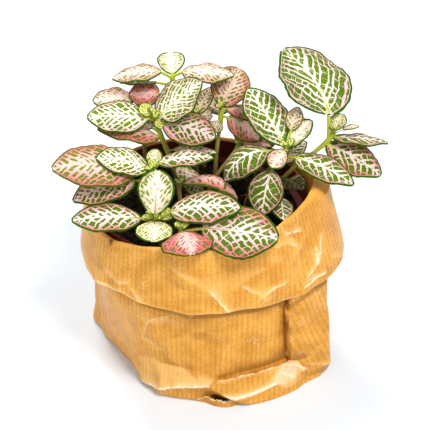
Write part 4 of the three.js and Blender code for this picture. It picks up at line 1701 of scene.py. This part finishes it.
    def build(self) -> None:
        """Builds and hands over the bag."""
        piece = joined("kraft_paper_bag", [self.wall(), self.flap(), self.torn_lip()])
        apply_modifier(piece, "SOLIDIFY", thickness=self.sheet * MM, offset=0.0)
        coat(piece, [PaperFinish().material()])
        soften(piece, 30.0)
        hand_over(piece, "kraft_paper", "paper_bag")


@dataclass(frozen=True)
class PlasticFinish:
    """Dusty terracotta-red plastic, in colours darkened as painted shade inside the bag."""

    name: str = "terracotta_plastic"
    clean: str = "6A2014"
    dusty: str = "3A1C12"

    def material(self) -> bpy.types.Material:
        """Makes the material.

        Returns:
            The material.
        """
        board = SurfaceBoard(self.name)
        place = board.node("TexCoord").outputs["Object"]
        dust = board.grain(place, 60.0, 4.0).step(0.45, 0.75, 0.0, 0.45)
        rough = board.grain(place, 200.0, 3.0).step(0.3, 0.7, 0.32, 0.5)
        board.surface(Base_Color=board.mix(dust, self.clean, self.dusty), Roughness=rough)
        board.bump(board.grain(place, 700.0), 0.3, 0.2)
        return board.material


@dataclass
class NurseryPot:
    """Thin plastic nursery pot with a stepped rim and drain holes."""

    foot_radius: float = 40.0
    top_radius: float = 57.4
    bottom: float = 1.6
    top: float = 97.0
    wall: float = 1.1
    floor: float = 2.0
    rim_depth: float = 12.0
    rim_step: float = 3.4
    drains: int = 6
    drain_radius: float = 4.0
    drain_circle: float = 26.0
    segments: int = 128

    def profile(self) -> list[Pair]:
        """Outline of the wall as radii and heights.

        Returns:
            Points from the axis under the floor round to the axis above it.
        """
        foot, rim, bottom, top = self.foot_radius, self.top_radius, self.bottom, self.top
        step, shoulder, inside = top - self.rim_depth, rim - self.rim_step, bottom + self.floor
        return [
            (0.0, bottom), (foot - 0.8, bottom), (foot, bottom + 0.8),
            (shoulder, step), (rim - 0.4, step + 0.5), (rim - 0.1, step + 1.2),
            (rim, top - 0.9), (rim - 0.3, top - 0.2), (rim - 0.7, top), (rim - 1.2, top - 0.3),
            (rim - 1.3, top - 0.9), (rim - 1.7, step + 1.4), (shoulder - self.wall, step - 0.6),
            (foot - self.wall, inside), (0.0, inside),
        ]

    def shell(self) -> bpy.types.Object:
        """The outline turned round the axis.

        Returns:
            The pot without its drain holes.
        """
        bpy.ops.object.select_all(action="DESELECT")
        bpy.ops.mesh.primitive_plane_add(size=0.01)
        piece = bpy.context.object
        piece.name = "plastic_nursery_pot"
        edit(piece, lambda: bpy.ops.mesh.delete(type="VERT"))
        points = [(radius * MM, 0.0, height * MM) for radius, height in self.profile()]
        piece.data.from_pydata(points, [(index, index + 1) for index in range(len(points) - 1)], [])
        whole = 2.0 * math.pi
        edit(
            piece,
            lambda: bpy.ops.mesh.spin(steps=self.segments, angle=whole, center=(0, 0, 0), axis=(0, 0, 1)),
            lambda: bpy.ops.mesh.select_all(action="SELECT"),
            lambda: bpy.ops.mesh.remove_doubles(threshold=0.02 * MM),
            face_outwards,
        )
        return piece

    def drill(self) -> bpy.types.Object:
        """Upright rods where the drain holes go, through the floor.

        Returns:
            The rods as one object.
        """
        rods = []
        for turn in (np.arange(self.drains) + 0.5) * 360.0 / self.drains:
            place = upright(turn, self.drain_circle, self.bottom) * MM
            radius, depth = self.drain_radius * MM, 4.0 * self.floor * MM
            bpy.ops.mesh.primitive_cylinder_add(
                vertices=32, radius=radius, depth=depth, location=tuple(place),
            )
            rods.append(bpy.context.object)
        return joined("drill", rods)

    def build(self) -> None:
        """Builds and hands over the pot."""
        piece, drill = self.shell(), self.drill()
        apply_modifier(piece, "BOOLEAN", operation="DIFFERENCE", object=drill)
        bpy.data.objects.remove(drill)
        soften(piece, 40.0)
        coat(piece, [PlasticFinish().material()])
        hand_over(piece, "pot_plastic", "nursery_pot")


@dataclass(frozen=True)
class GritFinish:
    """A rough, grainy finish of a darker and a lighter colour."""

    name: str
    dark: str
    light: str

    def material(self) -> bpy.types.Material:
        """Makes the material.

        Returns:
            The material.
        """
        board = SurfaceBoard(self.name)
        grit = board.grain(board.node("TexCoord").outputs["Object"], 420.0, 4.0)
        tint = board.mix(grit.step(0.4, 0.7), self.dark, self.light)
        board.surface(Base_Color=tint, Roughness=0.9, Specular_IOR_Level=0.15)
        board.bump(grit, 1.0, 0.8)
        return board.material


@dataclass
class PottingSoil:
    """Dark soil with crumbs and bits of bark on its top; its colours are darkened further as painted shade.
    """

    level: float = 85.0
    radius: float = 52.3
    depth: float = 80.4
    taper: float = 0.71
    voxel: float = 1.6
    crumbs: int = 420
    chips: int = 46

    def level_at(self, x: Any, y: Any) -> Any:
        """Height of the soil's top at places, in millimetres."""
        broad = np.sin(x * 0.21 + 1.3) * np.cos(y * 0.17 - 0.6)
        return self.level + 1.3 * (broad + 0.5 * np.sin(x * 0.43 - y * 0.37))

    def mound(self) -> bpy.types.Object:
        """The filling of the pot, with a rough top.

        Returns:
            The filling.
        """
        bpy.ops.object.select_all(action="DESELECT")
        bpy.ops.mesh.primitive_circle_add(
            vertices=72, radius=self.radius * MM, fill_type="NOTHING", location=(0, 0, self.level * MM),
        )
        piece = bpy.context.object
        down = {"value": (0, 0, -self.depth * MM)}
        edit(
            piece,
            lambda: bpy.ops.mesh.edge_face_add(),
            lambda: bpy.ops.mesh.extrude_region_move(TRANSFORM_OT_translate=down),
            lambda: bpy.ops.transform.resize(value=(self.taper, self.taper, 1.0)),
        )
        bpy.ops.object.transform_apply(location=True, rotation=True, scale=True)
        apply_modifier(piece, "REMESH", mode="VOXEL", voxel_size=self.voxel * MM)
        points = corners(piece) / MM
        on_top = points[:, 2] > self.level - 1.5
        rough = swell(points, 7.0, 21) * 0.5 + swell(points, 3.2, 22) * 0.35
        points[:, 2] = np.where(on_top, self.level_at(points[:, 0], points[:, 1]) + rough, points[:, 2])
        place_corners(piece, points)
        return piece

    def bit(self, pattern: bpy.types.Object, chip: bool, draw: np.random.Generator) -> bpy.types.Object:
        """A crumb of soil, or a chip of bark, that lies on the top.

        Args:
            pattern: The ball that is copied.
            chip: Whether it is bark.
            draw: Gives its random place and form.

        Returns:
            The new object.
        """
        bit = copy_of(pattern, "bit")
        reach, turn = self.radius * 0.97 * math.sqrt(draw.random()), draw.uniform(0.0, 2.0 * math.pi)
        x, y = reach * math.cos(turn), reach * math.sin(turn)
        shape = [draw.uniform(1.6, 3.4), draw.uniform(0.8, 1.5), 0.5] if chip else draw.uniform(0.5, 1.3, 3)
        spin = draw.uniform(0.0, math.pi)
        own = corners(bit) / MM * (1.0 + draw.uniform(-0.25, 0.25, (12, 1))) * shape
        own[:, 2] += 0.25 * own[:, 0] * draw.uniform(-1.0, 1.0)
        spun = own[:, :2] @ np.array([[math.cos(spin), math.sin(spin)], [-math.sin(spin), math.cos(spin)]])
        place_corners(bit, np.c_[spun + [x, y], own[:, 2] + self.level_at(x, y) + 0.5])
        return bit

    def build(self) -> None:
        """Builds and hands over the soil."""
        mound = self.mound()
        finishes = [
            # Near-black soil colours: dark soil, darkened further as painted shade inside the pot.
            GritFinish("potting_soil", "0C0705", "2A1A10").material(),
            GritFinish("bark", "3B2413", "A9703A").material(),
        ]
        coat(mound, finishes)
        bpy.ops.mesh.primitive_ico_sphere_add(subdivisions=1, radius=MM)
        pattern = bpy.context.object
        draw = np.random.default_rng(5)
        pieces = [mound]
        for index in range(self.crumbs + self.chips):
            chip = index >= self.crumbs
            bit = self.bit(pattern, chip, draw)
            coat(bit, finishes)
            bit.data.polygons.foreach_set("material_index", np.full(20, int(chip)))
            pieces.append(bit)
        bpy.data.objects.remove(pattern)
        hand_over(joined("potting_soil", pieces), "soil", "soil")


def aim(eye: Place, target: Place) -> Euler:
    """Turn of a lamp or a camera that looks from one place at another."""
    return (Vector(target) - Vector(eye)).to_track_quat("-Z", "Y").to_euler()


@dataclass(frozen=True)
class Softbox:
    """A square softbox aimed at the plant, in metres and watts."""

    name: str
    place: Place
    size: float
    power: float
    target: Place = (0.0, 0.0, 0.08)

    def build(self) -> None:
        """Adds the lamp."""
        bpy.ops.object.light_add(type="AREA", location=self.place)
        lamp = bpy.context.object
        lamp.name = self.name
        lamp.data.size = self.size
        lamp.data.energy = self.power
        lamp.rotation_euler = aim(self.place, self.target)


@dataclass
class Studio:
    """Pale floor, soft light and the camera, whose places are in millimetres."""

    eye: Place = (8.0, -663.2, 530.8)
    target: Place = (8.0, 0.0, 83.4)
    lens: float = 125.0
    sensor: float = 36.0
    floor_size: float = 6.0
    floor_colour: tuple[float, ...] = (0.74, 0.80, 0.86, 1.0)
    white: tuple[float, ...] = (1.0, 1.0, 1.0, 1.0)
    room_light: float = 0.35
    lamps: tuple[Softbox, ...] = (
        Softbox("key_softbox", (0.35, -0.55, 1.1), 0.4, 11.6),
        Softbox("top_softbox", (-0.3, 0.6, 1.15), 0.5, 12.0),
        Softbox("front_softbox", (-0.6, -1.1, 0.75), 0.7, 2.9),
    )

    def camera(self) -> bpy.types.Object:
        """Adds the camera.

        Returns:
            The camera.
        """
        bpy.ops.object.select_all(action="DESELECT")
        bpy.ops.object.camera_add(location=tuple(value * MM for value in self.eye))
        camera = bpy.context.object
        camera.rotation_euler = aim(self.eye, self.target)
        camera.data.lens = self.lens
        camera.data.sensor_width = self.sensor
        camera.data.clip_start, camera.data.clip_end = 0.01, 20.0
        return camera

    def floor(self) -> bpy.types.Object:
        """Adds the floor.

        Returns:
            The floor.
        """
        bpy.ops.mesh.primitive_plane_add(size=self.floor_size)
        floor = bpy.context.object
        floor.name = "floor"
        board = SurfaceBoard("pale_floor")
        board.surface(
            Base_Color=self.floor_colour, Roughness=0.9, Emission_Color=self.white, Emission_Strength=0.1,
        )
        floor.data.materials.append(board.material)
        return floor

    def build(self) -> None:
        """Sets the stage."""
        scene = bpy.context.scene
        scene.camera = self.camera()
        floor = self.floor()
        for lamp in self.lamps:
            lamp.build()
        world = bpy.data.worlds.new("studio_world")
        world.use_nodes = True
        room = world.node_tree.nodes["Background"].inputs
        room["Color"].default_value = self.white
        room["Strength"].default_value = self.room_light
        scene.world = world
        scene.view_settings.view_transform = "Standard"


BAG_FOOT: Ring = (
    (-165, 46.5), (-150, 44.6), (-135, 45.6), (-120, 49.5), (-112, 53.4), (-100, 54), (-87, 54.6),
    (-77, 58.6), (-64, 61.4), (-51, 64), (-37, 68), (-23, 75.2), (-10, 61), (0, 55), (15, 50),
    (30, 49), (45, 51), (60, 56), (70, 57), (82, 53), (96, 48), (112, 46.5), (126, 47), (140, 51),
    (154, 59), (165, 64.6), (174, 56),
)
BAG_WAIST: Ring = (
    (-165, 59), (-150, 59), (-120, 60.2), (-90, 60.6), (-60, 62), (-45, 65), (-33, 69), (-23, 72),
    (-10, 67), (0, 65), (20, 62), (45, 60.6), (90, 60), (135, 60), (165, 60),
)
BAG_RIM: Ring = (
    (-165, 59.2), (-120, 59.2), (-90, 59.4), (-60, 59), (-42, 58.8), (-28, 58.7), (-15, 58.8), (-3, 59.4),
    (8, 61), (18, 62), (32, 61.5), (50, 60.5), (90, 60), (135, 59.4), (170, 59.2),
)
BAG_RIM_HEIGHT: Ring = (
    (-165, 97.5), (-150, 96.6), (-137, 96.4), (-123, 99.3), (-108, 102.6), (-90, 103), (-70, 103.6),
    (-55, 105.5), (-42, 108.3), (-28, 109.3), (-15, 109), (-4, 107.4), (6, 105), (16, 101.5), (32, 98),
    (60, 96), (90, 95.6), (130, 96), (165, 97),
)
CUFF_SHOULDER: Ring = (
    (-165, 61.8), (-90, 61.8), (-55, 61.8), (-40, 62), (-28, 62.8), (-15, 65.5), (-5, 68), (3, 69),
    (12, 68.5), (22, 67), (40, 64.5), (60, 63), (90, 62.4), (135, 61.8),
)
CUFF_HEM: Ring = (
    (-164, 64.6), (-146, 65), (-117, 65), (-94, 64.6), (-70, 65), (-47, 67.6), (-35, 71), (-23, 75.2),
    (-12, 77.2), (-3, 77.4), (6, 75), (20, 71.4), (45, 67), (90, 64.6), (135, 64), (170, 64),
)
CUFF_HEM_HEIGHT: Ring = (
    (-164, 68.4), (-147, 68), (-129, 69), (-116, 67.2), (-104, 66.6), (-95, 65.2), (-84, 67), (-73, 67.2),
    (-61, 65.8), (-51, 64.8), (-42, 63), (-34, 64.8), (-20, 65), (-8, 66.6), (10, 66.8), (45, 66),
    (90, 65), (135, 66), (170, 67),
)
CUFF_CREASES = (
    Crease(((-84, 79), (-77, 68)), 0.5, 2.5, 0.8),
    Crease(((-69, 80), (-62, 73), (-59, 69)), 0.6, 2.5, 0.65),
    Crease(((-62, 71), (-55, 75), (-49, 75)), 0.7, 2.5, 0.7),
    Crease(((-123, 73), (-119, 69)), 0.4, 2.0, 0.7),
    Crease(((-46, 105), (-40, 96), (-39, 86), (-42, 63)), -0.9, 3.0, 0.3),
    Crease(((-44, 101), (-36, 99)), 0.6, 2.0, 0.8),
    Crease(((-36, 73), (-31, 77), (-29, 84)), 0.8, 2.5, 1.0),
    Crease(((-51, 97), (-44, 96), (-38, 90)), 0.6, 2.0, 0.5),
    Crease(((-30, 77), (-27, 82), (-25, 88)), 0.8, 3.0, 0.7),
    Crease(((-38, 67.5), (-33, 70), (-28, 69.5)), 0.9, 3.0, 1.0),
    Crease(((-20, 74), (-12, 68)), 0.8, 3.0, 0.4),
    Crease(((-160, 71), (-145, 68), (-130, 67.5), (-119, 67)), 0.7, 2.5, 0.5),
    Crease(((-139, 78), (-131, 74), (-126, 76)), 0.4, 2.0, 0.5),
)
# In these creases shade is painted shade: the overlapping panel's shadow at the pleat, the shade along the
# flap's top and the dark opening under its left corner.
BODY_CREASES = (
    Crease(((-118, 61), (-125, 40), (-132, 18), (-139, 4)), 1.4, 7.0, 0.15),
    Crease(((-107, 58), (-117, 53), (-122, 39), (-111, 33)), -1.0, 3.0, 0.55),
    Crease(((-142, 59), (-152, 40), (-168, 8)), 1.2, 6.0, 0.2),
    Crease(((-139, 4), (-130, 20), (-120, 23), (-95, 22)), -1.6, 5.0, 0.1),
    Crease(((-128, 3), (-114, 6), (-102, 11), (-86, 13)), 3.6, 6.0, 1.0),
    Crease(((-43, 62), (-44.5, 51), (-43.4, 41), (-43, 22)), -2.6, 8.0, 0.3, 3.4, 20.0, 0.9),
    Crease(((-38, 19), (-44, 21.5), (-57, 21), (-69, 20.5), (-80, 17.5)), -0.6, 3.0, 0.0, 0.0, 1.0, 0.6),
    Crease(((-36, 14), (-28, 9), (-22, 6)), 0.9, 3.0, 0.6),
    Crease(((-98, 45), (-80, 41), (-62, 46)), -0.7, 7.0, 0.1),
    Crease(((-81, 5.4), (-76, 2.8), (-71, -0.5)), -1.4, 3.0, 0.0, 0.0, 1.0, 4.4),
)
FLAP_TOP = (
    (-80.6, 17), (-75, 18.6), (-69.5, 20), (-63, 20.2), (-57, 20.4), (-50, 20.8), (-44, 21), (-38, 18),
    (-31, 13.5),
)
FLAP_FOOT = (
    (-86, 12.4), (-80, 9.6), (-74, 5.6), (-68, 1.6), (-61, 0.3), (-48, 0.3), (-41, 0.3), (-34, 0.3),
    (-27, 0.3),
)
FLAP_CREASES = (
    Crease(((-78, 7), (-72, 6.4), (-60, 8.5), (-53, 11)), 1.0, 3.0, 1.5),
    Crease(((-53, 11), (-47.5, 20), (-41, 17), (-37, 11)), 0.6, 2.0, 0.7),
    Crease(((-53, 11), (-46, 4), (-39.5, 6), (-37, 11)), 0.6, 2.0, 0.3),
    Crease(((-48, 15), (-43, 10)), 0.5, 1.5, 1.1),
    Crease(((-37, 11), (-30, 9), (-24, 6)), 0.8, 3.0, 0.7),
    Crease(((-80, 17), (-69, 20), (-57, 20.4), (-46, 20.8)), 0.2, 1.0, 0.6),
)


def main() -> None:
    """Builds the studio and the object's pieces in order."""
    logging.basicConfig(level=logging.INFO, format="%(name)s: %(message)s")
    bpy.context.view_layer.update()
    Studio().build()
    PaperBag(
        foot=BAG_FOOT, waist=BAG_WAIST, rim=BAG_RIM, rim_height=BAG_RIM_HEIGHT, shoulder=CUFF_SHOULDER,
        hem=CUFF_HEM, hem_height=CUFF_HEM_HEIGHT, cuff_creases=CUFF_CREASES, body_creases=BODY_CREASES,
        flap_creases=FLAP_CREASES, flap_top=FLAP_TOP, flap_foot=FLAP_FOOT,
    ).build()
    NurseryPot().build()
    PottingSoil().build()
    Foliage().build()


if __name__ == "__main__":
    main()
